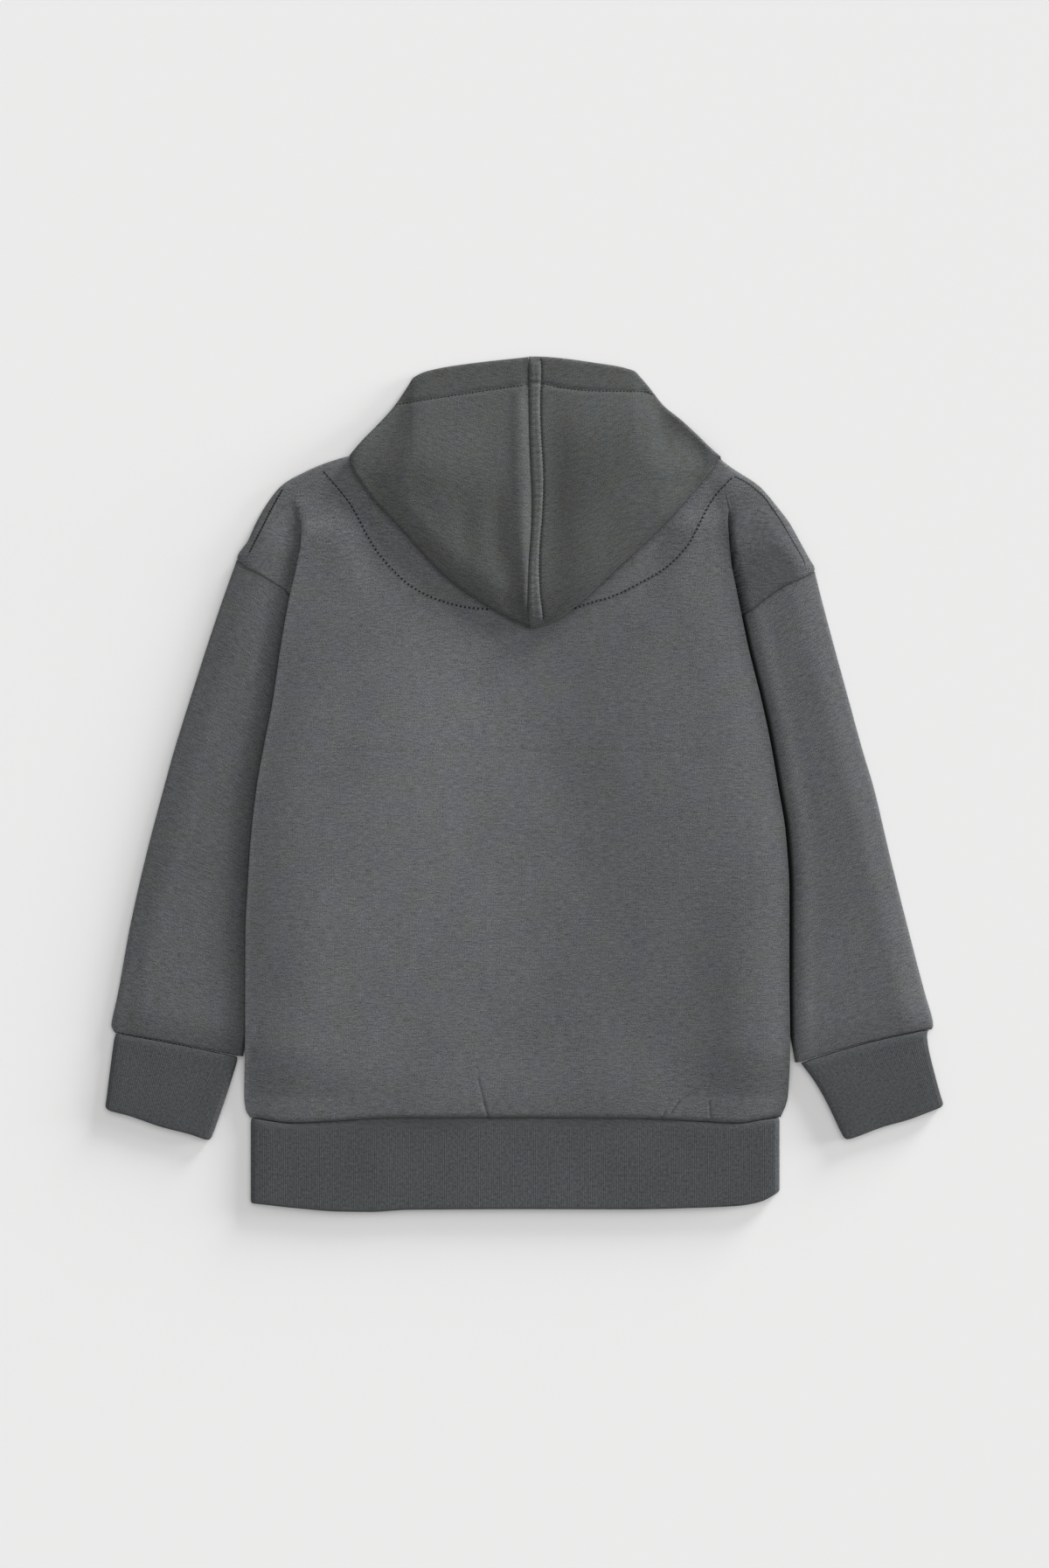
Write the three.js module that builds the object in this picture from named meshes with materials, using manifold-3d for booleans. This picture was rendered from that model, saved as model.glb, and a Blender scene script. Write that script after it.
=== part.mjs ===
// A toddler's fleece pullover hoodie, laid flat with its back up: two body panels, two sleeves,
// two ribbed cuffs, a ribbed hem band and the two halves of a hood.
// Millimetres, +Z up, the table at z = 0, the origin under the middle of the garment's outline.
import * as THREE from "three";
import { mergeVertices } from "three/addons/utils/BufferGeometryUtils.js";
import Module from "manifold-3d";

// Driving dimensions
const CLOTH = 1.8; // fleece wall
const TURN = 1.2; // radius of the wall's middle in a flat fold
const PLY = 2 * TURN; // height from one layer of cloth to the next
const SEAM_GAP = 0.3; // between two pieces that are sewn together
const LOFT = 3.2; // most that an upper layer stands off the layer under it, past one ply
const RIB_CLOTH = 2.2; // doubled rib knit wall
const RIB_PITCH = 2.9; // one raised rib and its furrow
const RIB_HEIGHT = 0.55;
const FLOOR_MID = CLOTH / 2; // middle of a wall that lies on the table

// A table of named columns, read as a smooth curve of one column over the first one.
function table(names, rows) {
  const key = names.split(" ");
  const columns = {};
  key.forEach((name, k) => {
    columns[name] = rows.map((row) => row[k]);
  });
  const xs = columns[key[0]];
  const sign = Math.sign(xs[1] - xs[0]);
  const curve = {};
  for (const name of key.slice(1)) curve[name] = (x) => smoothRead(xs, columns[name], x, sign);
  return curve;
}

// Cubic through the rows that never overshoots them.
function smoothRead(xs, ys, x, sign) {
  const last = xs.length - 1;
  if ((x - xs[0]) * sign <= 0) return ys[0];
  if ((x - xs[last]) * sign >= 0) return ys[last];
  let k = 0;
  while ((x - xs[k + 1]) * sign > 0) k += 1;
  const slope = (i) => (ys[i + 1] - ys[i]) / (xs[i + 1] - xs[i]);
  const tangent = (i) => {
    if (i === 0) return slope(0);
    if (i === last) return slope(last - 1);
    const before = slope(i - 1);
    const after = slope(i);
    return before * after <= 0 ? 0 : (2 * before * after) / (before + after);
  };
  const width = xs[k + 1] - xs[k];
  const s = (x - xs[k]) / width;
  const rise = s * s * (3 - 2 * s);
  const leave = s * (1 - s) * (1 - s) * width * tangent(k);
  const arrive = s * s * (s - 1) * width * tangent(k + 1);
  return ys[k] + (ys[k + 1] - ys[k]) * rise + leave + arrive;
}

const lerp = (a, b, s) => a + (b - a) * s;
const clamp01 = (s) => Math.min(1, Math.max(0, s));
const ease = (s) => clamp01(s) ** 2 * (3 - 2 * clamp01(s));
const dome = (s) => 1 - (1 - clamp01(s)) ** 2;
const between = ([from, to], y) => ease((y - from) / (to - from));
const spread = (count, from, to) =>
  Array.from({ length: count }, (_, k) => lerp(from, to, k / (count - 1)));

// Outlines. Left and right are as seen from above, with x counted outwards on both sides.
const SIDES = {
  left: {
    sign: -1,
    // the body's folded edge, and how far the return lies inside it down to the side seam
    body: table("y edge inner", [
      [190, 129, 120],
      [162, 130, 122],
      [155, 127.8, 117],
      [147, 127.3, 115],
      [139, 127.5, 113],
      [124, 130, 109],
      [107, 134, 104],
      [88, 137.5, 99],
      [75, 139.6, 97.5],
      [48, 143.5, 97],
      [25, 148, 115],
      [-2, 152.8, 141],
      [-32, 156.5, 151.5],
      [-58, 158.5, 154.5],
      [-84, 159.2, 155.2],
      [-153, 159.5, 155.5],
      [-178, 160.2, 156],
      [-186, 159.4, 155.4],
      [-190.2, 157, 153.2],
    ]),
    // the outline of the shoulder, then the armhole seam down to the underarm
    cap: table("y edge", [
      [186.5, 100],
      [184.3, 108],
      [180.3, 119],
      [176.3, 127.5],
      [172.3, 135],
      [168.3, 140],
      [158.3, 147.5],
      [148.3, 153],
      [138.3, 157.5],
      [128.3, 163.6],
      [126, 162.2],
      [116.3, 147],
      [107.4, 133.8],
      [75, 97.5],
    ]),
    shoulderY: 127.6,
    underarmY: 75,
    sleeve: table("y outer", [
      [128, 164],
      [98, 175],
      [58, 188],
      [18, 200.5],
      [-2, 206],
      [-42, 216.5],
      [-82, 225.5],
      [-122, 233],
      [-134, 236],
      [-138.5, 236],
      [-142, 233.8],
    ]),
    tucked: table("y inner", [
      [75, 98.8],
      [48, 99.8],
      [20, 107],
      [-2, 116],
      [-52, 133.5],
      [-102, 147.5],
      [-138, 158.5],
      [-154.8, 161.6],
    ]),
    cuff: {
      outer: [233.6, -142.2],
      inner: [163.6, -155.9],
      outerEnd: [239.6, -185.6],
      innerEnd: [179.2, -203.9],
      sag: 0.5,
    },
  },
  right: {
    sign: 1,
    body: table("y edge inner", [
      [190, 113, 104],
      [164, 114.5, 106],
      [156, 116, 104],
      [142, 116.5, 101.5],
      [126, 118, 97],
      [113, 120.5, 93],
      [83, 126.5, 91.5],
      [75, 128.3, 91],
      [46, 135.5, 91],
      [25, 140, 108],
      [-2, 145, 134],
      [-28, 149.3, 144.5],
      [-63, 151.4, 147.4],
      [-106, 151.4, 147.4],
      [-155, 151.8, 147.8],
      [-178, 150.6, 146.8],
      [-183, 149.6, 145.8],
      [-190.2, 146.5, 143.4],
    ]),
    cap: table("y edge", [
      [186.5, 111],
      [184.3, 112.4],
      [180.3, 117.5],
      [176.3, 123.5],
      [172.3, 130],
      [168.3, 135],
      [158.3, 143.5],
      [148.3, 151],
      [138.3, 156.5],
      [128.3, 162],
      [122, 165.2],
      [119, 161.6],
      [112.5, 147.4],
      [97.8, 127.6],
      [75, 91],
    ]),
    shoulderY: 121.2,
    underarmY: 75,
    sleeve: table("y outer", [
      [121, 165.6],
      [98, 171.5],
      [58, 182.5],
      [18, 193.5],
      [-2, 199.5],
      [-42, 209],
      [-82, 219],
      [-122, 229.5],
      [-134, 233],
      [-138, 233.6],
      [-141, 231.6],
    ]),
    tucked: table("y inner", [
      [75, 92.3],
      [48, 93.8],
      [20, 101],
      [-2, 109],
      [-52, 126],
      [-102, 140],
      [-138, 151.5],
      [-158, 155.4],
    ]),
    cuff: {
      outer: [231.6, -140.2],
      inner: [157.6, -159.6],
      outerEnd: [239.4, -184.6],
      innerEnd: [182.6, -203.4],
      sag: 1.8,
    },
  },
};

// The neck: high points of the shoulders, and the middle of the back and the front neckline.
const NECK = { middle: 5, half: 71, top: 186.4, back: 167, front: 120 };
const neckDip = (x, low) => {
  const off = Math.min(1, Math.abs(x - NECK.middle) / NECK.half);
  return (NECK.top - low) * (1 - off * off);
};

// The seam between the body and the hem band, across the garment.
const SEAM_Y = -190.2;
const HEM_GAP = 0.55;
const HEM = table("x seam end", [
  [-157.5, -190.3, -239.2],
  [-150, -191.6, -239.9],
  [-133, -193.6, -241.8],
  [-105, -192.3, -244],
  [-88, -191, -244.2],
  [-66, -190.4, -243],
  [0, -190.5, -242.6],
  [61, -190.9, -242.7],
  [102, -192.7, -241.7],
  [122, -193.7, -240.7],
  [134, -192, -238.6],
  [147, -190.2, -232],
]);
const BAND = { left: -156.4 + RIB_CLOTH / 2, right: 145.7 - RIB_CLOTH / 2, loft: 0.7 };

// Heights of the layers
const LEVEL = [0, 1, 2, 3].map((n) => FLOOR_MID + n * PLY);
const LIFT = table("y back front", [
  [190, 1, 0],
  [75, 1, 0],
  [62, 1, 0.35],
  [36, 1, 1],
  [-148, 1, 1],
  [-178, 0, 0],
]);
const overSleeve = (column, y) => LEVEL[0] + (LEVEL[2] - LEVEL[0]) * LIFT[column](y);

// The broad hollows and swells of the body's back, and the creases that run up from the hem.
const SWELLS = [
  { x: 0, y: -115, wide: 34, tall: 95, height: -0.9 },
  { x: 92, y: -130, wide: 20, tall: 70, height: -0.8 },
  { x: -140, y: -120, wide: 18, tall: 70, height: -0.7 },
  { x: -70, y: -80, wide: 38, tall: 100, height: 0.5 },
  { x: 55, y: -60, wide: 30, tall: 100, height: 0.5 },
  { x: 0, y: 10, wide: 120, tall: 6, height: -0.45 },
  { x: -24, y: -180, wide: 3.5, tall: 13, height: -0.8 },
  { x: 104, y: -178, wide: 4, tall: 14, height: -0.8 },
  { x: 88, y: -182, wide: 6, tall: 8, height: -0.9 },
];
const swell = (x, y) =>
  SWELLS.reduce(
    (sum, s) => sum + s.height * Math.exp(-(((x - s.x) / s.wide) ** 2) - ((y - s.y) / s.tall) ** 2),
    0,
  );

// An outline is the cloth's outer face, and the middle of the wall folds half a wall inside it.
const foldX = (side, y) => side.body.edge(y) - CLOTH / 2;
const sideOf = (x) => (x < 0 ? SIDES.left : SIDES.right);

// Heights between which the body's side pleat takes shape, opens out, lowers and sinks into the shoulder,
// and how far inside the side seam it is felt
const PLEAT = {
  begins: [60, 100],
  opens: [138, 160],
  sinks: [146, 166],
  lowers: [150, 172],
  inside: [-26, -4],
};
const OPEN_HALF = 7; // half the width of the soft step that the opened pleat leaves
const ROLL = 22; // width over which a panel rises from its folded edge
const EDGE_BLEND = 16; // width over which the height of the folded edge is felt
const TUCK = [-26, -10]; // where the front climbs, measured from the tucked edge of a sleeve
const hemCloses = (x, y) => lerp(0.12, 1, dome((y - HEM.seam(x)) / 11));
const neckCloses = (y) => lerp(1, 0.2, between([60, 105], y));

// Middle of the front panel's wall: on the table, and up over the tucked edges of the sleeves.
function frontHeight(x, y) {
  const climb = between(TUCK, Math.abs(x) - sideOf(x).tucked.inner(y));
  return lerp(LEVEL[0], overSleeve("front", y), climb);
}

// Middle of the back panel's wall away from its folded edges.
function backHeight(x, y) {
  const side = sideOf(x);
  const inward = foldX(side, y) - TURN - Math.abs(x);
  const sunk = between(PLEAT.sinks, y);
  const high = lerp(overSleeve("back", y) + PLY, LEVEL[1], sunk);
  const low = frontHeight(x, y) + PLY + LOFT * dome(inward / ROLL) * hemCloses(x, y) * neckCloses(y);
  const overPleat =
    between(PLEAT.begins, y) * (1 - sunk) * between(PLEAT.inside, Math.abs(x) - side.body.inner(y));
  const closeToEdge = 1 - ease(inward / EDGE_BLEND);
  const plain = Math.max(lerp(low, high, closeToEdge * (1 - sunk)), low);
  return lerp(plain, Math.max(high, low), overPleat) + swell(x, y) * dome(inward / ROLL) * neckCloses(y);
}

// One side of a cross section of the back panel: the cap, the pleat's return and the folded edge.
const ARC = [-90, -45, 0, 45, 90].map((degrees) => THREE.MathUtils.degToRad(degrees));
const CAP = { columns: 4, loft: 2, run: 12, clear: 2, tip: 3, tipDrop: 0.9 };
function capHeight(side, x, y, outerEnd, edge) {
  const puff = CAP.loft * dome((outerEnd - x) / CAP.run) * ease((x - edge - CAP.clear) / CAP.run);
  const tip = 1 - dome((outerEnd - x) / CAP.tip);
  return LEVEL[1] + puff - CAP.tipDrop * tip * ease((y - side.shoulderY) / 4);
}
function backSide(side, y) {
  const edge = foldX(side, y);
  const inner = side.body.inner(y);
  const returnZ = overSleeve("back", y);
  const outerEnd = side.cap.edge(y);
  const capX = spread(CAP.columns, outerEnd, inner + TURN);
  const fold = capX.map((x) => [x, capHeight(side, x, y, outerEnd, edge)]);
  for (const a of ARC.slice(1))
    fold.push([inner + TURN - TURN * Math.cos(a), LEVEL[1] + TURN + TURN * Math.sin(a)]);
  fold.push([lerp(inner + TURN, edge - TURN, 0.5), returnZ]);
  for (const a of ARC) fold.push([edge - TURN + TURN * Math.cos(a), returnZ + TURN + TURN * Math.sin(a)]);
  if (y <= side.underarmY + 0.01) {
    const start = CAP.columns + ARC.length - 2;
    for (let k = 0; k <= start; k += 1) fold[k] = [inner, returnZ];
    return fold;
  }
  // above the pleat the same points lie along a plain sheet with a soft step
  const unfold = between(PLEAT.opens, y);
  const lifted = 1 - between(PLEAT.lowers, y);
  const pleatStart = CAP.columns - 1;
  const count = fold.length - 1 - pleatStart;
  const stepX = Math.min(edge + OPEN_HALF, outerEnd - 1);
  return fold.map(([x, z], k) => {
    const s = (k - pleatStart) / count;
    if (s <= 0) return [lerp(x, lerp(outerEnd, stepX, k / pleatStart), unfold), z];
    const flatZ = LEVEL[1] + (LEVEL[3] - LEVEL[1]) * lifted * ease(s);
    return [lerp(x, stepX - s * 2 * OPEN_HALF, unfold), lerp(z, flatZ, unfold)];
  });
}

// A row of the back panel, from the left cap to the right cap.
const BACK_COLUMNS = 15;
const CROWDING = 0.036; // columns stand closer at the sides
function backRow(y) {
  const left = backSide(SIDES.left, y).map(([x, z]) => [-x, z]);
  const right = backSide(SIDES.right, y);
  const from = left[left.length - 1];
  const to = right[right.length - 1];
  const main = spread(BACK_COLUMNS + 2, 0, 1)
    .slice(1, -1)
    .map((s) => lerp(from[0], to[0], s - CROWDING * Math.sin(2 * Math.PI * s)))
    .map((x) => [x, 0]);
  const row = [...left, ...main, ...right.reverse()];
  const topBend = ease((y - 110) / (NECK.top - 110));
  const low = y < -150 ? (y + 150) / (SEAM_Y + 150) : 0;
  return row.map(([x, z], k) => {
    const dip = topBend * neckDip(x, NECK.back) * (Math.abs(x - NECK.middle) < NECK.half ? 1 : 0);
    const hem = low * (HEM.seam(x) + HEM_GAP - SEAM_Y);
    const placeY = y - dip + hem;
    const isMain = k >= left.length && k < left.length + main.length;
    return new THREE.Vector3(x, placeY, isMain ? backHeight(x, placeY) : z);
  });
}

// A wall of even thickness over a grid of points of its middle surface; rings close on themselves.
function wall(grid, { ring = false, thickness = CLOTH, relief = null } = {}) {
  const rows = grid.length;
  const columns = grid[0].length;
  const within = (k, count) => Math.min(count - 1, Math.max(0, k));
  const at = (j, i) => grid[within(j, rows)][ring ? (i + columns) % columns : within(i, columns)];
  const faces = [[], []];
  for (let j = 0; j < rows; j += 1) {
    const both = [[], []];
    for (let i = 0; i < columns; i += 1) {
      const across = at(j, i + 1).clone().sub(at(j, i - 1));
      const along = at(j + 1, i).clone().sub(at(j - 1, i));
      const normal = across.cross(along).normalize();
      const raised = relief ? relief(j, i, normal) : 0;
      [1, -1].forEach((way, side) => {
        const half = thickness / 2 + (way > 0 ? raised : 0);
        const point = grid[j][i].clone().addScaledVector(normal, way * half);
        point.z = Math.max(0, point.z);
        both[side].push(point);
      });
    }
    // columns that a row has drawn together keep one point
    for (let i = columns - 2; i >= 0; i -= 1)
      if (grid[j][i].distanceTo(grid[j][i + 1]) < 1e-6) both.forEach((line) => (line[i] = line[i + 1]));
    for (let i = 1; i < columns; i += 1)
      if (grid[j][i].distanceTo(grid[j][i - 1]) < 1e-6) both.forEach((line) => (line[i] = line[i - 1]));
    both.forEach((line, side) => faces[side].push(line));
  }
  return closed(faces[0], faces[1], ring);
}

// The closed body between an outer and an inner grid of points.
function closed(outer, inner, ring) {
  const corner = [];
  const quad = (a, b, c, d) => corner.push(a, b, c, a, c, d);
  const rows = outer.length;
  const columns = outer[0].length;
  const spans = ring ? columns : columns - 1;
  const next = (i) => (i + 1) % columns;
  for (let j = 0; j < rows - 1; j += 1)
    for (let i = 0; i < spans; i += 1) {
      quad(outer[j][i], outer[j][next(i)], outer[j + 1][next(i)], outer[j + 1][i]);
      quad(inner[j][i], inner[j + 1][i], inner[j + 1][next(i)], inner[j][next(i)]);
    }
  for (let i = 0; i < spans; i += 1) {
    quad(outer[0][i], inner[0][i], inner[0][next(i)], outer[0][next(i)]);
    quad(outer[rows - 1][next(i)], inner[rows - 1][next(i)], inner[rows - 1][i], outer[rows - 1][i]);
  }
  if (!ring)
    for (let j = 0; j < rows - 1; j += 1) {
      quad(outer[j + 1][0], inner[j + 1][0], inner[j][0], outer[j][0]);
      quad(...[outer[j], inner[j], inner[j + 1], outer[j + 1]].map((line) => line[columns - 1]));
    }
  return facing(corner);
}

// A geometry with merged corners, no empty triangles, and its faces outwards.
function facing(corner) {
  const geometry = new THREE.BufferGeometry().setFromPoints(corner);
  const merged = mergeVertices(geometry, 1e-4);
  const index = Array.from(merged.index.array);
  const kept = [];
  const position = merged.attributes.position;
  const point = (k) => new THREE.Vector3().fromBufferAttribute(position, k);
  let volume = 0;
  for (let k = 0; k < index.length; k += 3) {
    const [a, b, c] = index.slice(k, k + 3);
    if (a === b || b === c || c === a) continue;
    kept.push([a, b, c]);
    volume += point(a).dot(point(b).cross(point(c)));
  }
  merged.setIndex(kept.flatMap(([a, b, c]) => (volume > 0 ? [a, b, c] : [a, c, b])));
  return merged;
}

const group = new THREE.Group();
const fleece = { color: 0x626465, roughness: 0.95, metalness: 0 };
const ribKnit = { color: 0x4b4d4e, roughness: 0.95, metalness: 0 };
function add(name, geometry, finish) {
  const mesh = new THREE.Mesh(geometry, new THREE.MeshStandardMaterial(finish));
  mesh.name = name;
  group.add(mesh);
}

// Back panel
const ARMHOLE_ROWS = [127.5, 122, 117, 106, 92, 75];
const BACK_ROWS = [
  NECK.top, 180, 174, 168, 162, 156, 150, 145, 140, 133, ...ARMHOLE_ROWS,
  55, 36, 12, -15, -45, -80, -115, -145, -160, -172, -181, -186.5, SEAM_Y,
];
add("back_panel", wall(BACK_ROWS.map(backRow)), fleece);

// Front panel, with the same shoulders, armholes and hem, and its own lower neckline
const LOWER_ROWS = BACK_ROWS.filter((y) => y < 60);
const FRONT_ROWS = [NECK.top, 176, 164, 150, 138, ...ARMHOLE_ROWS, ...LOWER_ROWS];
const FRONT_COLUMNS = 17;
const SHOULDER_INSET = 4.2;
function frontEdge(side, y) {
  if (y < side.underarmY - 0.01) return side.body.inner(y) - 2 * SEAM_GAP;
  return side.cap.edge(y) - SHOULDER_INSET * ease((y - side.shoulderY) / 4);
}
function frontRow(y) {
  const topBend = ease((y - 10) / (NECK.top - 10));
  const low = y < -90 ? (y + 90) / (SEAM_Y + 90) : 0;
  const closerAtSides = (s) => lerp(s, 0.5 - 0.5 * Math.cos(Math.PI * s), 0.75);
  return spread(FRONT_COLUMNS, 0, 1).map((s) => {
    const x = lerp(-frontEdge(SIDES.left, y), frontEdge(SIDES.right, y), closerAtSides(s));
    const placeY = y - topBend * neckDip(x, NECK.front) + low * (HEM.seam(x) + HEM_GAP - SEAM_Y);
    return new THREE.Vector3(x, placeY, frontHeight(x, y));
  });
}
add("front_panel", wall(FRONT_ROWS.map(frontRow)), fleece);

// A flattened tube's cross section: from the outer fold over the top, round the inner fold and back
// below. across(c) gives the plan place at c from 0, the outer fold, to 1, and top(place, c) how far
// the upper layer rises.
const FOLD_ARC = [45, 0, -45].map((degrees) => THREE.MathUtils.degToRad(degrees));
function flatRing({ across, width, top, columns, below, turn = TURN, floor = FLOOR_MID }) {
  const ring = [];
  const put = (c, z) => {
    const place = across(c);
    ring.push(new THREE.Vector3(place[0], place[1], z));
  };
  const margin = turn / width;
  for (const c of spread(columns, margin, 1 - margin)) put(c, floor + 2 * turn + top(across(c), c));
  const arcHeight = (a) => floor + turn + turn * Math.sin(a);
  for (const a of FOLD_ARC) put(1 - margin + margin * Math.cos(a), arcHeight(a));
  for (const c of spread(below, 1 - margin, margin)) put(c, floor);
  for (const a of [...FOLD_ARC].reverse()) put(margin - margin * Math.cos(a), arcHeight(a));
  return ring;
}

// Sleeves
const SLEEVE_ROWS = [0, 0.05, 0.12, 0.22, 0.34, 0.46, 0.58, 0.7, 0.82, 0.91, 0.955, 0.98, 1];
const SLEEVE = {
  gap: 1, // below the armhole seam
  seamGap: 0.3, // beside the armhole seam, and as much more again where it ends at the underarm
  startY: [-1.2, -0.8], // of the outer and the inner edge, from the shoulder and the underarm
  armholeShare: 0.25, // of the length that still bends with the armhole
  run: 17, // width over which the upper layer rises from the outer fold
  bodyRun: 14, // and from the body's edge that lies on it
  bodyGap: 2.5,
};
function armholePoint(side, c) {
  const rows = ARMHOLE_ROWS.filter((y) => y <= side.shoulderY + 1);
  const k = Math.min(rows.length - 2, Math.floor(c * (rows.length - 1)));
  const s = c * (rows.length - 1) - k;
  const x = lerp(side.cap.edge(rows[k]), side.cap.edge(rows[k + 1]), s);
  return [x + SLEEVE.seamGap + c ** 4, lerp(rows[k], rows[k + 1], s) - SLEEVE.gap];
}
function cuffSeamPoint(side, c) {
  const { outer, inner, sag } = side.cuff;
  return [lerp(outer[0], inner[0], c), lerp(outer[1], inner[1], c) + sag * 4 * c * (1 - c)];
}
function sleeveRing(side, v) {
  const outerY = lerp(side.shoulderY + SLEEVE.startY[0], side.cuff.outer[1] + 2 * SEAM_GAP, v);
  const innerY = lerp(side.underarmY + SLEEVE.startY[1], side.cuff.inner[1] + 2 * SEAM_GAP, v);
  const outer = [side.sleeve.outer(outerY) - CLOTH / 2, outerY];
  const inner = [side.tucked.inner(innerY), innerY];
  const atArmhole = (1 - clamp01(v / SLEEVE.armholeShare)) ** 2;
  const across = (c) => {
    const straight = [lerp(outer[0], inner[0], c), lerp(outer[1], inner[1], c)];
    const seam = armholePoint(side, clamp01(c));
    const bent = side.cuff.sag * 4 * c * (1 - c) * v ** 6;
    return [lerp(straight[0], seam[0], atArmhole) * side.sign, lerp(straight[1], seam[1], atArmhole) + bent];
  };
  const width = Math.hypot(inner[0] - outer[0], inner[1] - outer[1]);
  const ends = lerp(0.25, 1, dome(v / 0.14)) * lerp(0.3, 1, dome((1 - v) / 0.08));
  const top = ([x, y], c) => {
    const outside = Math.abs(x) - side.body.edge(y) - SLEEVE.bodyGap;
    return LOFT * dome((c * width) / SLEEVE.run) * dome(outside / SLEEVE.bodyRun) * ends;
  };
  return flatRing({ across, width, top, columns: 13, below: 6 });
}
for (const [name, side] of Object.entries(SIDES))
  add(`sleeve_${name}`, wall(SLEEVE_ROWS.map((v) => sleeveRing(side, v)), { ring: true }), fleece);

// Ribbed tubes: the wall's outer points stand up in ribs on the upper side over a plain inside
const RIB_FOLD = { turn: RIB_CLOTH / 2 + 0.3, floor: RIB_CLOTH / 2 };
function ribbed(name, rings, columns) {
  const relief = (j, i) => (i < columns && i % 2 === 1 ? RIB_HEIGHT : 0);
  add(name, wall(rings, { ring: true, thickness: RIB_CLOTH, relief }), ribKnit);
}
const TUBE_ENDS = [0, 0.5, 1];

// Cuffs
for (const [name, side] of Object.entries(SIDES)) {
  const { outer, inner, outerEnd, innerEnd } = side.cuff;
  const width = Math.hypot(inner[0] - outer[0], inner[1] - outer[1]);
  const columns = 2 * Math.round(width / RIB_PITCH) + 1;
  const half = RIB_CLOTH / 2 / width;
  const rings = TUBE_ENDS.map((v) => {
    const across = (whole) => {
      const c = lerp(half, 1 - half, whole);
      const seam = cuffSeamPoint(side, c);
      const end = [lerp(outerEnd[0], innerEnd[0], c), lerp(outerEnd[1], innerEnd[1], c)];
      return [lerp(seam[0], end[0], v) * side.sign, lerp(seam[1] - SEAM_GAP / 2, end[1], v)];
    };
    return flatRing({ across, width, top: () => 0.5, columns, below: 8, ...RIB_FOLD });
  });
  ribbed(`cuff_${name}`, rings, columns);
}

// Hem band
const bandWidth = BAND.right - BAND.left;
const bandColumns = 2 * Math.round(bandWidth / RIB_PITCH) + 1;
const bandRings = TUBE_ENDS.map((v) => {
  const across = (c) => {
    const x = lerp(BAND.left, BAND.right, c);
    return [x, lerp(HEM.seam(x) - SEAM_GAP / 2, HEM.end(x), v)];
  };
  const top = ([x]) => BAND.loft * dome(Math.min(x - BAND.left, BAND.right - x) / 12);
  return flatRing({ across, width: bandWidth, top, columns: bandColumns, below: 24, ...RIB_FOLD });
});
ribbed("hem_band", bandRings, bandColumns);

// Hood: each half is one cut, folded under along its lower edge and along its upper outer edge
const HOOD = {
  left: {
    sign: -1,
    seam: 2.4,
    last: -97.4,
    rimCorner: { x: -73.5, y: 216.25 },
    top: table("x y", [
      [6, 244.25],
      [-30.5, 240.25],
      [-54, 236.25],
      [-63, 232.25],
      [-65.5, 228.25],
      [-73.5, 216.25],
      [-84, 204.3],
      [-92, 196],
      [-100, 186.5],
    ]),
    low: table("x y", [
      [3.3, 88.8],
      [-16, 98.4],
      [-44, 117.5],
      [-66, 141],
      [-95.5, 176],
      [-100, 186.3],
    ]),
  },
  right: {
    sign: 1,
    seam: 3.2,
    last: 107.2,
    rimCorner: { x: 79, y: 216.25 },
    top: table("x y", [
      [2, 244.2],
      [6, 244.2],
      [43, 240.25],
      [62, 236.25],
      [66, 232.25],
      [69.5, 228.25],
      [79, 216.25],
      [88.5, 208.25],
      [97, 200.25],
      [105, 192.25],
      [112.3, 186],
    ]),
    low: table("x y", [
      [2, 88.6],
      [3.5, 88.4],
      [11.8, 91],
      [19, 94],
      [29.4, 101.3],
      [51.4, 121.9],
      [80.6, 149.7],
      [112.3, 186.2],
    ]),
  },
};
const HOOD_COLUMNS = 17;
const CROWN_POINTS = 12;
const HOOD_CLEAR = PLY + 0.25; // from the back's middle to the flap's
const RIM = { hem: 16, cornerHem: 3, narrows: [60, 72] }; // the turned hem, less past the rim's corners
const CROWN = { loft: 2.6, seamShare: 0.55, seamRun: 0.2, cornerFrom: [0.78, 0.98] };
const FLAP = { share: 0.3, more: 40, rise: 6, from: 3, overNeck: 4 };
const FRONT_EDGE = { rim: 2.2, neck: 1.3, neckMore: 2.5, middle: 121, inset: 6, thickness: CLOTH - 0.1 };
const neckY = (x, low) => NECK.top - (Math.abs(x - NECK.middle) < NECK.half ? neckDip(x, low) : 0);
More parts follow.
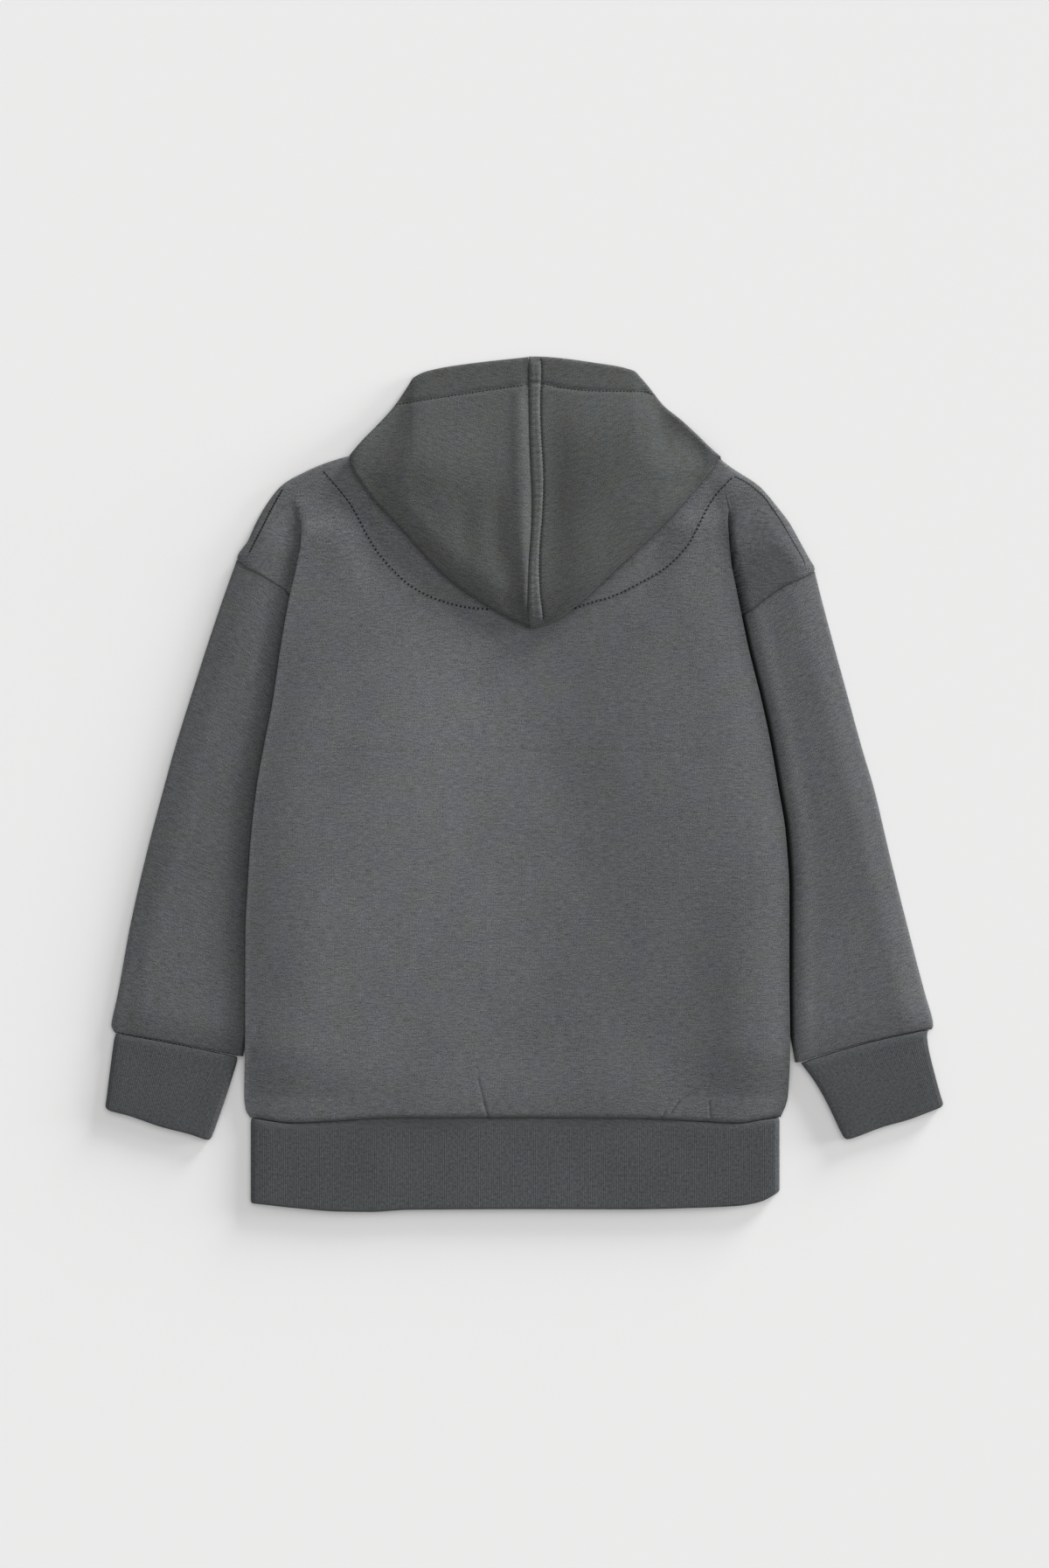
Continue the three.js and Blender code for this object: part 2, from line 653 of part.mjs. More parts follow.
function hoodColumn(half, x) {
  const top = half.top.y(x) - CLOTH / 2;
  const low = half.low.y(x) + CLOTH / 2;
  const outward = Math.abs(x - half.seam) / Math.abs(half.last - half.seam);
  const nearCorner = between(CROWN.cornerFrom, outward);
  const inFlap = low + TURN + FLAP.share * (top - low - 4 * TURN) + FLAP.more * (1 - nearCorner);
  const flapEnd = Math.min(neckY(x, NECK.back), inFlap);
  const flapZ = (y) => backHeight(x, y) + HOOD_CLEAR;
  const foldZ = flapZ(low + TURN);
  const topZ = lerp(LEVEL[1], foldZ + PLY, nearCorner);
  const turns = ARC.slice(1, -1);
  const crownHeight = (y) => {
    const s = (y - low - TURN) / (top - low - 2 * TURN);
    const fromSeam = lerp(CROWN.seamShare, 1, dome(outward / CROWN.seamRun));
    const puff = CROWN.loft * Math.sin(Math.PI * clamp01(s)) * (1 - nearCorner) * fromSeam;
    const onFlap = y < neckY(x, NECK.back) + FLAP.overNeck;
    const overBack = onFlap ? flapZ(y) + HOOD_CLEAR - PLY * ease((y - flapEnd - FLAP.from) / FLAP.rise) : 0;
    return Math.max(lerp(foldZ + PLY, topZ, ease(s)) + puff, overBack);
  };
  const back = lerp(RIM.hem, RIM.cornerHem, between(RIM.narrows, Math.abs(x)));
  const section = [
    ...spread(4, flapEnd, low + TURN).map((y) => [y, flapZ(y)]),
    ...turns.map((a) => [low + TURN - TURN * Math.cos(a), foldZ + TURN + TURN * Math.sin(a)]),
    ...spread(CROWN_POINTS, low + TURN, top - TURN).map((y) => [y, crownHeight(y)]),
    ...turns.reverse().map((a) => [top - TURN + TURN * Math.cos(a), topZ - TURN + TURN * Math.sin(a)]),
    [top - TURN, topZ - PLY],
    [top - back, topZ - PLY],
  ];
  return section.map(([y, z]) => new THREE.Vector3(x, y, z));
}

// The hood's front edge lies flat under the rim, between the front neckline and the rim's line
function frontFlapColumn(half, x) {
  const corner = half.rimCorner;
  const rim = corner.y - ((corner.x - x) * (corner.y - FRONT_EDGE.middle)) / (corner.x - NECK.middle);
  const outline = half.top.y(x) - FRONT_EDGE.rim;
  const top = Math.abs(x) > Math.abs(corner.x) ? outline : Math.min(outline, rim);
  const off = Math.min(1, Math.abs(x - NECK.middle) / NECK.half);
  const low = neckY(x, NECK.front) + FRONT_EDGE.neck + FRONT_EDGE.neckMore * off ** 2;
  return spread(4, low, top).map((y) => new THREE.Vector3(x, y, FLOOR_MID));
}

const wasm = await Module();
wasm.setup();
function solid(geometry) {
  const vertProperties = new Float32Array(geometry.attributes.position.array);
  const triVerts = new Uint32Array(geometry.index.array);
  return new wasm.Manifold(new wasm.Mesh({ numProp: 3, vertProperties, triVerts }));
}
function joined(a, b) {
  const mesh = solid(a).add(solid(b)).getMesh();
  const geometry = new THREE.BufferGeometry();
  geometry.setAttribute("position", new THREE.BufferAttribute(mesh.vertProperties, 3));
  geometry.setIndex(Array.from(mesh.triVerts));
  return geometry;
}
for (const [name, half] of Object.entries(HOOD)) {
  const columns = spread(HOOD_COLUMNS, half.seam, half.last).map((x) => hoodColumn(half, x));
  const crown = wall(columns);
  const flapEdge = half.sign * (Math.abs(half.last) - FRONT_EDGE.inset);
  const flapColumns = spread(9, NECK.middle + half.sign * 3, flapEdge).map((x) => frontFlapColumn(half, x));
  const flap = wall(flapColumns, { thickness: FRONT_EDGE.thickness });
  add(`hood_${name}`, joined(crown, flap), fleece);
}

export default group;
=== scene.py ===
import math
from functools import partial
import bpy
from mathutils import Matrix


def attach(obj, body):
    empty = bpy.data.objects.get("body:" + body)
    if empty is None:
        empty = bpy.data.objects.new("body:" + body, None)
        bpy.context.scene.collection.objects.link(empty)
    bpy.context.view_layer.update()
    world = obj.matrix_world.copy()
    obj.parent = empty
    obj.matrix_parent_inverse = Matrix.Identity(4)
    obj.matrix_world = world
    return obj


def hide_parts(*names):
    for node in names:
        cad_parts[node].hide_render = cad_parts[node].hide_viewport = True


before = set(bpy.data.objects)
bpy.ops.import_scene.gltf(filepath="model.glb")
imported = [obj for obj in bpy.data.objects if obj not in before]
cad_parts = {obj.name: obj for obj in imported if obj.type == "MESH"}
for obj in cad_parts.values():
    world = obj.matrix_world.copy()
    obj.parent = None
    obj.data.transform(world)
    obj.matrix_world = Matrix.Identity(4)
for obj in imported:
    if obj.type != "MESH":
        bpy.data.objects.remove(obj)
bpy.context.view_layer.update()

from types import SimpleNamespace

import bmesh
import bpy
from mathutils import Matrix, Vector

# The table and the light
# The hoodie lies on a plain pale table under a broad ceiling light. Two low windows, beyond the hood
# and to the right, throw soft long shadows, and a pale sky fills the rest. The camera looks straight down.
MM = 0.001
scene = bpy.context.scene
scene.view_settings.view_transform = "Standard"
VIEW_HEIGHT = 0.8965
CAMERA_HEIGHT = 2.2
SENSOR = 36.0
lens = bpy.data.cameras.new("camera")
lens.sensor_width = SENSOR
lens.lens = SENSOR * CAMERA_HEIGHT / VIEW_HEIGHT
lens.clip_end = 10
camera = bpy.data.objects.new("camera", lens)
camera.location = (0, 0, CAMERA_HEIGHT)
scene.collection.objects.link(camera)
scene.camera = camera

sky = bpy.data.worlds.new("sky")
sky.use_nodes = True
sky.node_tree.nodes["Background"].inputs["Color"].default_value = (1.0, 1.0, 1.0, 1)
sky.node_tree.nodes["Background"].inputs["Strength"].default_value = 0.27
scene.world = sky
for name, from_place, width, power in (
    ("ceiling", (0.10, 0.15, 1.0), 70, 1.40),
    ("window", (0.58, 0.76, 0.150), 18, 4.2),
    ("side window", (0.95, 0.24, 0.105), 22, 3.4),
):
    light = bpy.data.lights.new(name, "SUN")
    light.angle = math.radians(width)
    light.energy = power
    holder = bpy.data.objects.new(name, light)
    holder.rotation_euler = Vector(from_place).to_track_quat("Z", "Y").to_euler()
    scene.collection.objects.link(holder)


class Wire:
    """A socket in a material's node tree, with the operators that a maker of cloth needs."""

    def __init__(self, tree, socket):
        self.tree = tree
        self.socket = socket

    def node(self, kind, settings=None, out=0, **sockets):
        made = self.tree.nodes.new(kind)
        for key, value in (settings or {}).items():
            setattr(made, key, value)
        for key, value in sockets.items():
            socket = made.inputs[int(key[1:]) if key[1:].isdigit() else key.replace("_", " ")]
            if isinstance(value, Wire):
                self.tree.links.new(value.socket, socket)
            else:
                socket.default_value = value
        return Wire(self.tree, made.outputs[out])

    def sum_of(self, operation, *values):
        named = {f"i{k}": value for k, value in enumerate(values)}
        return self.node("ShaderNodeMath", {"operation": operation}, **named)

    def __add__(self, other):
        return self.sum_of("ADD", self, other)

    def __radd__(self, other):
        return self.sum_of("ADD", other, self)

    def __sub__(self, other):
        return self.sum_of("SUBTRACT", self, other)

    def __rsub__(self, other):
        return self.sum_of("SUBTRACT", other, self)

    def __mul__(self, other):
        return self.sum_of("MULTIPLY", self, other)

    def __rmul__(self, other):
        return self.sum_of("MULTIPLY", other, self)

    def feed(self, socket):
        self.tree.links.new(self.socket, socket)

    def shaded(self, colour):
        """The colour, lighter or darker by this value."""
        return self.node(
            "ShaderNodeVectorMath", {"operation": "SCALE"}, Vector=tuple(colour[:3]), Scale=self
        )


def new_finish(name, roughness, sheen=0.0, sheen_roughness=0.5):
    """A plain rough material and its shader."""
    finish = bpy.data.materials.new(name)
    finish.use_nodes = True
    shader = finish.node_tree.nodes["Principled BSDF"]
    shader.inputs["Roughness"].default_value = roughness
    shader.inputs["Sheen Weight"].default_value = sheen
    shader.inputs["Sheen Roughness"].default_value = sheen_roughness
    shader.inputs["Specular IOR Level"].default_value = 0.15
    return finish, shader


table_finish, table_shader = new_finish("pale table", roughness=0.9)
table_shader.inputs["Base Color"].default_value = (0.80, 0.80, 0.795, 1)
TABLE_HALF = 4.0
table_board = bmesh.new()
bmesh.ops.create_grid(table_board, x_segments=2, y_segments=2, size=TABLE_HALF)
table_mesh = bpy.data.meshes.new("table")
table_board.to_mesh(table_mesh)
table_board.free()
table_top = bpy.data.objects.new("table", table_mesh)
table_mesh.materials.append(table_finish)
scene.collection.objects.link(table_top)

# Back panel
# One cut of brushed sweatshirt fleece with dropped shoulders. The sleeves are turned down beside
# the body, so the cloth folds into a pleat below each shoulder and wraps over the sleeves' edges.
CLOTH = 1.8
TURN = 1.2
PLY = 2 * TURN
LOFT = 3.2
BRIDGE = 1.6
BRIDGE_ENDS = (40, 130)
LOFT_AT_SHOULDERS = 0.4
LOFT_THINS = (-30, 160)
FLOOR_MID = CLOTH / 2
SEAM_Y = -190.2
HEM_GAP = 0.55
LEVEL = [FLOOR_MID + n * PLY for n in range(4)]


def lerp(a, b, s):
    return a + (b - a) * s


def clamp01(s):
    return min(1.0, max(0.0, s))


def ease(s):
    s = clamp01(s)
    return s * s * (3 - 2 * s)


def dome(s):
    return 1 - (1 - clamp01(s)) ** 2


def spread(count, first, last):
    return [lerp(first, last, k / (count - 1)) for k in range(count)]


def smooth_read(xs, ys, x):
    """A cubic through the rows that never overshoots them."""
    way = 1 if xs[1] > xs[0] else -1
    if (x - xs[0]) * way <= 0:
        return ys[0]
    if (x - xs[-1]) * way >= 0:
        return ys[-1]
    k = 0
    while (x - xs[k + 1]) * way > 0:
        k += 1

    def slope(i):
        return (ys[i + 1] - ys[i]) / (xs[i + 1] - xs[i])

    def tangent(i):
        if i == 0 or i == len(xs) - 1:
            return slope(min(i, len(xs) - 2))
        before, after = slope(i - 1), slope(i)
        return 0 if before * after <= 0 else 2 * before * after / (before + after)

    width = xs[k + 1] - xs[k]
    s = (x - xs[k]) / width
    rise = s * s * (3 - 2 * s)
    leave = s * (1 - s) ** 2 * width * tangent(k)
    arrive = s * s * (s - 1) * width * tangent(k + 1)
    return ys[k] + (ys[k + 1] - ys[k]) * rise + leave + arrive


def table(names, rows):
    """Named columns, each read as a smooth curve over the first one."""
    keys = names.split()
    columns = list(zip(*rows))
    curves = {}
    for key, column in zip(keys[1:], columns[1:]):
        curves[key] = lambda x, column=column: smooth_read(columns[0], column, x)
    return SimpleNamespace(**curves)


LEFT = SimpleNamespace(
    name="left",
    sign=-1,
    gap=1.2,
    rise=18,
    lie=2.0,
    cap_puff=3.2,
    cap_rise=18,
    cap_gap=1.0,
    falls=3,
    shift=1.5,
    # Next: the painted shadow beside the folded edge, the painted highlight along the edge (rim, glow) and
    # how much darker the cap is painted, as painted shade.
    shadow=table(
        "y depth reach",
        [
            (166, 0, 3), (156, 0.18, 6), (140, 0.24, 7), (110, 0.3, 9), (48, 0.4, 12), (-20, 0.4, 15),
            (-140, 0.3, 17),
        ],
    ),
    painted_light=table("y rim glow", [(168, 0, 0), (154, 0.2, 0.02), (136, 0.7, 0.09), (-190, 0.6, 0.12)]),
    cap_painted_shade=0.12,
    opens=(136, 154),
    fades=(134, 168),
    step=3.5,
    underarm_y=75,
    shoulder=(164, 127.6),
    body=table(
        "y edge inner",
        [
            (190, 129, 120), (162, 130, 122), (155, 127.8, 117), (147, 127.3, 115), (139, 127.5, 113),
            (124, 130, 109), (107, 134, 104), (88, 137.5, 99), (75, 139.6, 97.5), (48, 143.5, 97),
            (25, 148, 115), (-2, 152.8, 141), (-32, 156.2, 151.5), (-58, 157.9, 154.5), (-84, 159.2, 155.2),
            (-153, 159.5, 155.5), (-178, 160.2, 156), (-186, 159.4, 155.4), (-190.2, 157, 153.2),
        ],
    ),
    cap=table(
        "y edge",
        [
            (186.5, 100), (184.3, 108), (180.3, 119), (176.3, 127.5), (172.3, 135), (168.3, 140),
            (158.3, 147.5), (148.3, 153), (138.3, 157.5), (128.3, 163.6), (126, 162.2), (116.3, 147),
            (107.4, 133.8), (75, 97.5),
        ],
    ),
    sleeve=table(
        "y outer",
        [
            (128, 164), (98, 175), (58, 188), (18, 200.5), (-2, 206), (-42, 216.5), (-82, 225.5),
            (-122, 232.8), (-134, 235.5), (-137.8, 236.1), (-139.6, 235.5), (-142, 233.8),
        ],
    ),
    tucked=table(
        "y inner",
        [
            (75, 98.8), (48, 99.8), (20, 107), (-2, 116), (-52, 133.5), (-102, 147.5), (-138, 158.5),
            (-154.8, 161.6),
        ],
    ),
    cuff=SimpleNamespace(
        outer=(233.6, -142.2),
        inner=(163.6, -155.9),
        outer_end=(239.6, -185.6),
        inner_end=(179.2, -203.9),
        sag=0.5,
        bow=-0.4,
    ),
)
RIGHT = SimpleNamespace(
    name="right",
    sign=1,
    gap=2.2,
    rise=10.0,
    lie=1.9,
    cap_puff=4.2,
    cap_rise=4.5,
    cap_gap=1.6,
    falls=5,
    shift=0.8,
    # Next: the painted shadow in the groove beside the folded edge, painted shade along the edge (rim, glow)
    # and how much darker the cap is painted, as painted shade.
    shadow=table(
        "y depth reach",
        [
            (168, 0, 0.8), (162, 0.6, 1.1), (150, 0.9, 1.7), (130, 0.98, 2.5), (98, 0.98, 2.9),
            (48, 0.98, 3.2), (-2, 0.98, 3.3), (-52, 0.98, 3.5), (-127, 0.98, 3.1),
        ],
    ),
    painted_light=table(
        "y rim glow",
        [
            (172, 0, -0.1), (162, -0.1, -0.3), (150, -0.3, -0.38), (138, -0.5, -0.3), (120, -0.5, -0.16),
            (-190, -0.5, -0.13),
        ],
    ),
    cap_painted_shade=0.20,
    opens=(140, 158),
    fades=(136, 172),
    step=2.5,
    underarm_y=75,
    shoulder=(165.6, 121.2),
    body=table(
        "y edge inner",
        [
            (190, 113, 104), (164, 114.5, 106), (156, 116, 104), (142, 116.5, 101.5), (126, 118, 97),
            (113, 120.5, 93), (83, 126.5, 91.5), (75, 128.3, 91), (46, 135.5, 91), (25, 140, 108),
            (-2, 144.7, 134), (-28, 148.9, 144.5), (-63, 151, 147.4), (-106, 151, 147.4),
            (-155, 151.5, 147.8), (-178, 150.6, 146.8), (-183, 149.6, 145.8), (-190.2, 146.5, 143.4),
        ],
    ),
    cap=table(
        "y edge",
        [
            (186.5, 111), (184.3, 112.4), (180.3, 117.5), (176.3, 123.5), (172.3, 130), (168.3, 135),
            (158.3, 143.5), (148.3, 151), (138.3, 156.5), (128.3, 162), (122, 165.2), (119, 161.6),
            (112.5, 147.4), (97.8, 127.6), (75, 91),
        ],
    ),
    sleeve=table(
        "y outer",
        [
            (121, 165.6), (98, 171.5), (58, 182.5), (18, 193.5), (-2, 199.5), (-42, 209), (-82, 219),
            (-122, 229.5), (-134, 233), (-138, 233.6), (-141, 231.6),
        ],
    ),
    tucked=table(
        "y inner",
        [(75, 92.3), (48, 93.8), (20, 101), (-2, 109), (-52, 126), (-102, 140), (-138, 151.5), (-158, 155.4)],
    ),
    cuff=SimpleNamespace(
        outer=(231.6, -140.2),
        inner=(157.6, -159.6),
        outer_end=(239.4, -184.6),
        inner_end=(182.6, -203.4),
        sag=1.8,
        bow=2.6,
    ),
)
NECK = SimpleNamespace(middle=5, half=71, top=186.4, back=167, front=120)
HEM = table(
    "x seam end",
    [
        (-157.5, -190.3, -239.2), (-150, -191.6, -239.9), (-133, -193.6, -241.8), (-105, -192.3, -244),
        (-88, -191, -244.2), (-66, -190.4, -243), (0, -190.5, -242.6), (61, -190.9, -242.7),
        (102, -192.7, -241.7), (122, -193.7, -240.7), (134, -192, -238.6), (147, -190.2, -232),
    ],
)
LIFT = table("y back front", [(190, 1, 0), (75, 1, 0), (62, 1, 0.35), (36, 1, 1), (-148, 1, 1), (-178, 0, 0)])
FOLD_LINE = 19
SWELLS = [
    # x, y, half width, half length, height
    (0, -115, 34, 95, -0.9),
    (92, -130, 20, 70, -0.8),
    (-140, -120, 18, 70, -0.7),
    (-70, -80, 38, 100, 0.5),
    (55, -60, 30, 100, 0.5),
    (0, FOLD_LINE, 120, 1.4, -0.08),
]
CREASES = [
    # from x, y to x, y, half width, depth
    (-26.5, -168, -23, -182, 0.7, 0.25),
    (-23, -182, -20.5, -190, 0.7, 0.45),
    (107, -166, 104, -175, 0.6, 0.2),
    (105.3, -181, 106, -190, 0.6, 0.4),
    (97.5, -174, 88, -181, 0.7, 0.25),
    (88, -181, 83.5, -187.5, 0.7, 0.5),
    (80, -187, 78, -191, 0.7, 0.4),
]


def side_of(x):
    return LEFT if x < 0 else RIGHT


def over_sleeve(column, y):
    return LEVEL[0] + (LEVEL[2] - LEVEL[0]) * getattr(LIFT, column)(y)


def neck_dip(x, low):
    off = min(1, abs(x - NECK.middle) / NECK.half)
    return (NECK.top - low) * (1 - off * off)


def painted_edge_shadow(side, x, y):
    """How much a painted shadow darkens the cloth where the body's folded edge lies on it and beside that
    edge.
    """
    outside = abs(x) - side.body.edge(y)
    if outside < 0:
        return side.shadow.depth(y)
    return side.shadow.depth(y) * math.exp(-((outside / side.shadow.reach(y)) ** side.falls))


def fold_x(side, y):
    """The middle of a folded wall lies half a wall inside the outline."""
    return side.body.edge(y) - CLOTH / 2


def trough(x, y, crease):
    x0, y0, x1, y1, half, depth = crease
    along = ((x - x0) * (x1 - x0) + (y - y0) * (y1 - y0)) / ((x1 - x0) ** 2 + (y1 - y0) ** 2)
    s = clamp01(along)
    away = math.hypot(x - lerp(x0, x1, s), y - lerp(y0, y1, s))
    return -depth * math.exp(-((away / half) ** 2))


def broad_sum(rows, x, y):
    """Soft round hills or patches, each with its middle, half width, half length and amount."""
    return sum(h * math.exp(-(((x - sx) / w) ** 2) - ((y - sy) / t) ** 2) for sx, sy, w, t, h in rows)


FRONT_CLIMB_START = 26
FRONT_CLIMB_RUN = 16


def front_height(x, y):
    side = side_of(x)
    climb = ease((abs(x) - side.tucked.inner(y) + FRONT_CLIMB_START) / FRONT_CLIMB_RUN)
    return lerp(LEVEL[0], over_sleeve("front", y), climb)


def between(span, y):
    return ease((y - span[0]) / (span[1] - span[0]))


def fold_end(side, y):
    """Where the folded edge passes into the plain back. Near the shoulder it opens into a soft step."""
    opened = min(fold_x(side, y) - side.step + side.shift, side.cap.edge(y) - 1 - 2 * side.step)
    return lerp(fold_x(side, y) - TURN, opened, between(side.opens, y))


def loft(x, y):
    """The air between the panels, more of it along the middle and less towards the shoulders."""
    bridge = BRIDGE * (1 - between(BRIDGE_ENDS, abs(x)))
    return (LOFT + bridge) * lerp(1, LOFT_AT_SHOULDERS, between(LOFT_THINS, y))


PLEAT_FORMS = (60, 100)
EDGE_ROUND = 30
CAP_ROUND = 22
HEM_ROUND = 30
HEM_SHARE = 0.66
CURL = 2.0
CLIMB_START = 100
CLIMB_RUN = 90
CLIMB_ENDS = (90, 170)
PLEAT_REACH = 26
PLEAT_RUN = 22
STEP_RUN = 45
CREASE_TOP = -150


def back_height(x, y):
    """The middle of the back panel away from its folded edges."""
    side = side_of(x)
    inward = fold_end(side, y) - abs(x)
    edge = over_sleeve("back", y) + PLY
    faded = between(side.fades, y)
    pleat = between(PLEAT_FORMS, y) * (1 - faded)
    from_seam = abs(x) - side.body.inner(y)
    high = lerp(edge, LEVEL[1], faded * between(side.opens, y))
    from_hem = y - HEM.seam(x) - HEM_GAP
    hem_closes = lerp(HEM_SHARE, 1, dome(from_hem / HEM_ROUND))
    curl = CURL * (1 - dome(from_hem / CURL)) if from_hem < CURL else 0
    puff = lerp(dome(inward / EDGE_ROUND), dome((side.cap.edge(y) - abs(x)) / CAP_ROUND), faded)
    crown = loft(x, y) * puff * hem_closes
    climb = ease((abs(x) - side.tucked.inner(y) + CLIMB_START) / CLIMB_RUN) * (1 - between(CLIMB_ENDS, y))
    low = lerp(LEVEL[0], over_sleeve("back", y), climb) + PLY
    over = pleat * ease((from_seam + PLEAT_REACH) / PLEAT_RUN)
    stepped = 1 - ease(inward / STEP_RUN) * (1 - over)
    z = lerp(low, max(high, low), stepped) + crown
    soft = broad_sum(SWELLS, x, y)
    sharp = sum(trough(x, y, crease) for crease in CREASES) if y < CREASE_TOP else 0
    return z + (soft + sharp) * puff - curl * dome(inward / (3 * CURL))


ARC = [math.radians(a) for a in (-90, -60, -30, 0, 30, 60, 90)]
CAP_COLUMNS = 36
CAP_SWELL = 13
CAP_THINS = (132, 162)
SEAM_HALF = 1.5
SEAM_DEPTH = 0.4
SEAM_PINCH = 0.45
TIP_DROP = 0.9
TIP_ROUND = 3


def cap_height(side, x, y, edge):
    """The middle of the cap over the sleeve's top. It dips into the seam at its lower edge."""
    outer_end = side.cap.edge(y)
    from_seam = outer_end - x
    from_outline = (side.shoulder[0] if y < side.shoulder[1] else outer_end) + 0.5 - x
    beside = dome((x - edge - side.cap_gap * clamp01((150 - y) / 50)) / side.cap_rise)
    puff = side.cap_puff * dome(from_outline / CAP_SWELL) * beside * (1 - between(CAP_THINS, y))
    at_seam = math.exp(-((from_seam / SEAM_HALF) ** 2)) if y < side.shoulder[1] else 0
    tip = TIP_DROP * (1 - dome(from_seam / TIP_ROUND)) * ease((y - side.shoulder[1]) / 4)
    return LEVEL[1] + puff * (1 - SEAM_PINCH * at_seam) - SEAM_DEPTH * at_seam - tip


def back_side(side, y):
    """Half of a cross section: the cap, the pleat's return and the folded edge."""
    edge = fold_x(side, y)
    inner = side.body.inner(y)
    return_z = over_sleeve("back", y)
    outer_end = side.cap.edge(y)
    unfold, faded = between(side.opens, y), between(side.fades, y)
    end = fold_end(side, y)
    step_x = min(edge - side.step + side.shift, outer_end - 1 - 2 * side.step) + 2 * side.step
    fold = []
    for s in spread(CAP_COLUMNS, 0, 1):
        x = lerp(lerp(outer_end, inner + TURN, s**1.5), lerp(outer_end, step_x, s**1.5), unfold)
        fold.append((x, cap_height(side, x, y, lerp(edge, step_x, unfold))))
    for a in ARC[1:]:
        fold.append((inner + TURN - TURN * math.cos(a), LEVEL[1] + TURN + TURN * math.sin(a)))
    for s in (0.33, 0.66):
        fold.append((lerp(inner + TURN, edge - TURN, s), return_z))
    for a in ARC:
        fold.append((edge - TURN + TURN * math.cos(a), return_z + TURN + TURN * math.sin(a)))
    if y <= side.underarm_y + 0.01:
        start = CAP_COLUMNS + len(ARC) - 2
        return [(inner, return_z)] * (start + 1) + fold[start + 1 :]
    placed = []
    for k, (x, z) in enumerate(fold):
        if k >= CAP_COLUMNS:
            s = (k - CAP_COLUMNS + 1) / (len(fold) - CAP_COLUMNS)
            open_z = LEVEL[1] + (LEVEL[3] - LEVEL[1]) * (1 - faded) * ease(s)
            x, z = lerp(x, step_x - 2 * side.step * s, unfold), lerp(z, open_z, unfold)
        placed.append((x, z + faded * loft(x, y) * dome((outer_end - x) / CAP_ROUND)))
    return placed


FINE_STEP = 0.6
EDGE_STEP = 1.4
PLAIN_STEP = 3.0
CREASED = [(-29, -18), (76, 109)]


def main_columns(first, last):
    """Columns across the back, closer together where creases run up from the hem."""
    xs = [first]
    while xs[-1] < last - 3.4:
        x = xs[-1]
        near_crease = any(start < x < stop for start, stop in CREASED)
        near_edge = x - first < 12 or last - x < 14
        xs.append(x + (FINE_STEP if near_crease else EDGE_STEP if near_edge else PLAIN_STEP))
    return [(x - first) / (last - first) for x in xs[1:]]


MAIN = main_columns(-157, 149)
NECK_BENDS = (110, NECK.top)
BACK_HEM_BENDS = -150


def back_row(y):
    left = [(-x, z) for x, z in back_side(LEFT, y)]
    right = back_side(RIGHT, y)[::-1]
    main = [(lerp(left[-1][0], right[0][0], s), None) for s in MAIN]
    top_bend = between(NECK_BENDS, y)
    low = (y - BACK_HEM_BENDS) / (SEAM_Y - BACK_HEM_BENDS) if y < BACK_HEM_BENDS else 0
    row = []
    for x, z in left + main + right:
        dip = top_bend * neck_dip(x, NECK.back)
        place_y = y - dip + low * (HEM.seam(x) + HEM_GAP - SEAM_Y)
        row.append((x, place_y, back_height(x, place_y) if z is None else z))
    return row


def steps(first, last, step):
    count = max(1, round(abs(last - first) / step))
    return [lerp(first, last, k / count) for k in range(count)]


def cloth_mesh(name, rows, ridge=None, tone_and_painted_light=None, turned=False):
    """A sheet of cloth from a grid that an operator makes: rows of places in mm, and its cut as a UV map.

    ridge says how far each column stands out, the next argument, a function of x and y, how light the
    cloth is painted there, its tone with painted light and shade, and turned that the rows run along the
    cloth's length.
    """
    mesh_grid = bmesh.new()
    raised = mesh_grid.verts.layers.float.new("ridge")
    # This layer holds how light the cloth is painted: its tone together with painted light and shade.
    tone_layer = mesh_grid.verts.layers.float.new("tone_and_painted_light")
    across, along = len(rows[0]) - 1, len(rows) - 1
    bmesh.ops.create_grid(mesh_grid, x_segments=across, y_segments=along, size=0.5)
    cut = mesh_grid.loops.layers.uv.new("cut")
    middle = len(rows[0]) // 2
    lengths = []
    for row in rows:
        run = [0.0]
        for a, b in zip(row, row[1:]):
            run.append(run[-1] + math.dist(a, b))
        lengths.append([u - run[middle] for u in run])
    up = [0.0]
    for a, b in zip(rows, rows[1:]):
        up.append(up[-1] + math.dist(a[middle], b[middle]))
    where = {}
    for v in mesh_grid.verts:
        i, j = round((v.co.x + 0.5) * across), round((v.co.y + 0.5) * along)
        where[v] = (up[j] * MM, lengths[j][i] * MM) if turned else (lengths[j][i] * MM, up[j] * MM)
        v.co = Vector(rows[j][i]) * MM
        v[raised] = ridge[i % len(ridge)] if ridge else 0.5
        v[tone_layer] = tone_and_painted_light(*rows[j][i][:2]) if tone_and_painted_light else 1.0
    for face in mesh_grid.faces:
        face.smooth = True
        for loop in face.loops:
            loop[cut].uv = where[loop.vert]
    bmesh.ops.remove_doubles(mesh_grid, verts=mesh_grid.verts, dist=1e-6)
    bmesh.ops.dissolve_degenerate(mesh_grid, edges=mesh_grid.edges, dist=1e-7)
    mesh = bpy.data.meshes.new(name)
    mesh_grid.to_mesh(mesh)
    mesh_grid.free()
    piece = bpy.data.objects.new(name, mesh)
    scene.collection.objects.link(piece)
    return piece


def give_wall(piece):
    wall = piece.modifiers.new("wall", "SOLIDIFY")
    wall.thickness = CLOTH * MM
    wall.offset = 0
    return piece


WARM = (1.03, 1.0, 0.93, 1)
WALE = 0.00095
COURSE = 0.0016


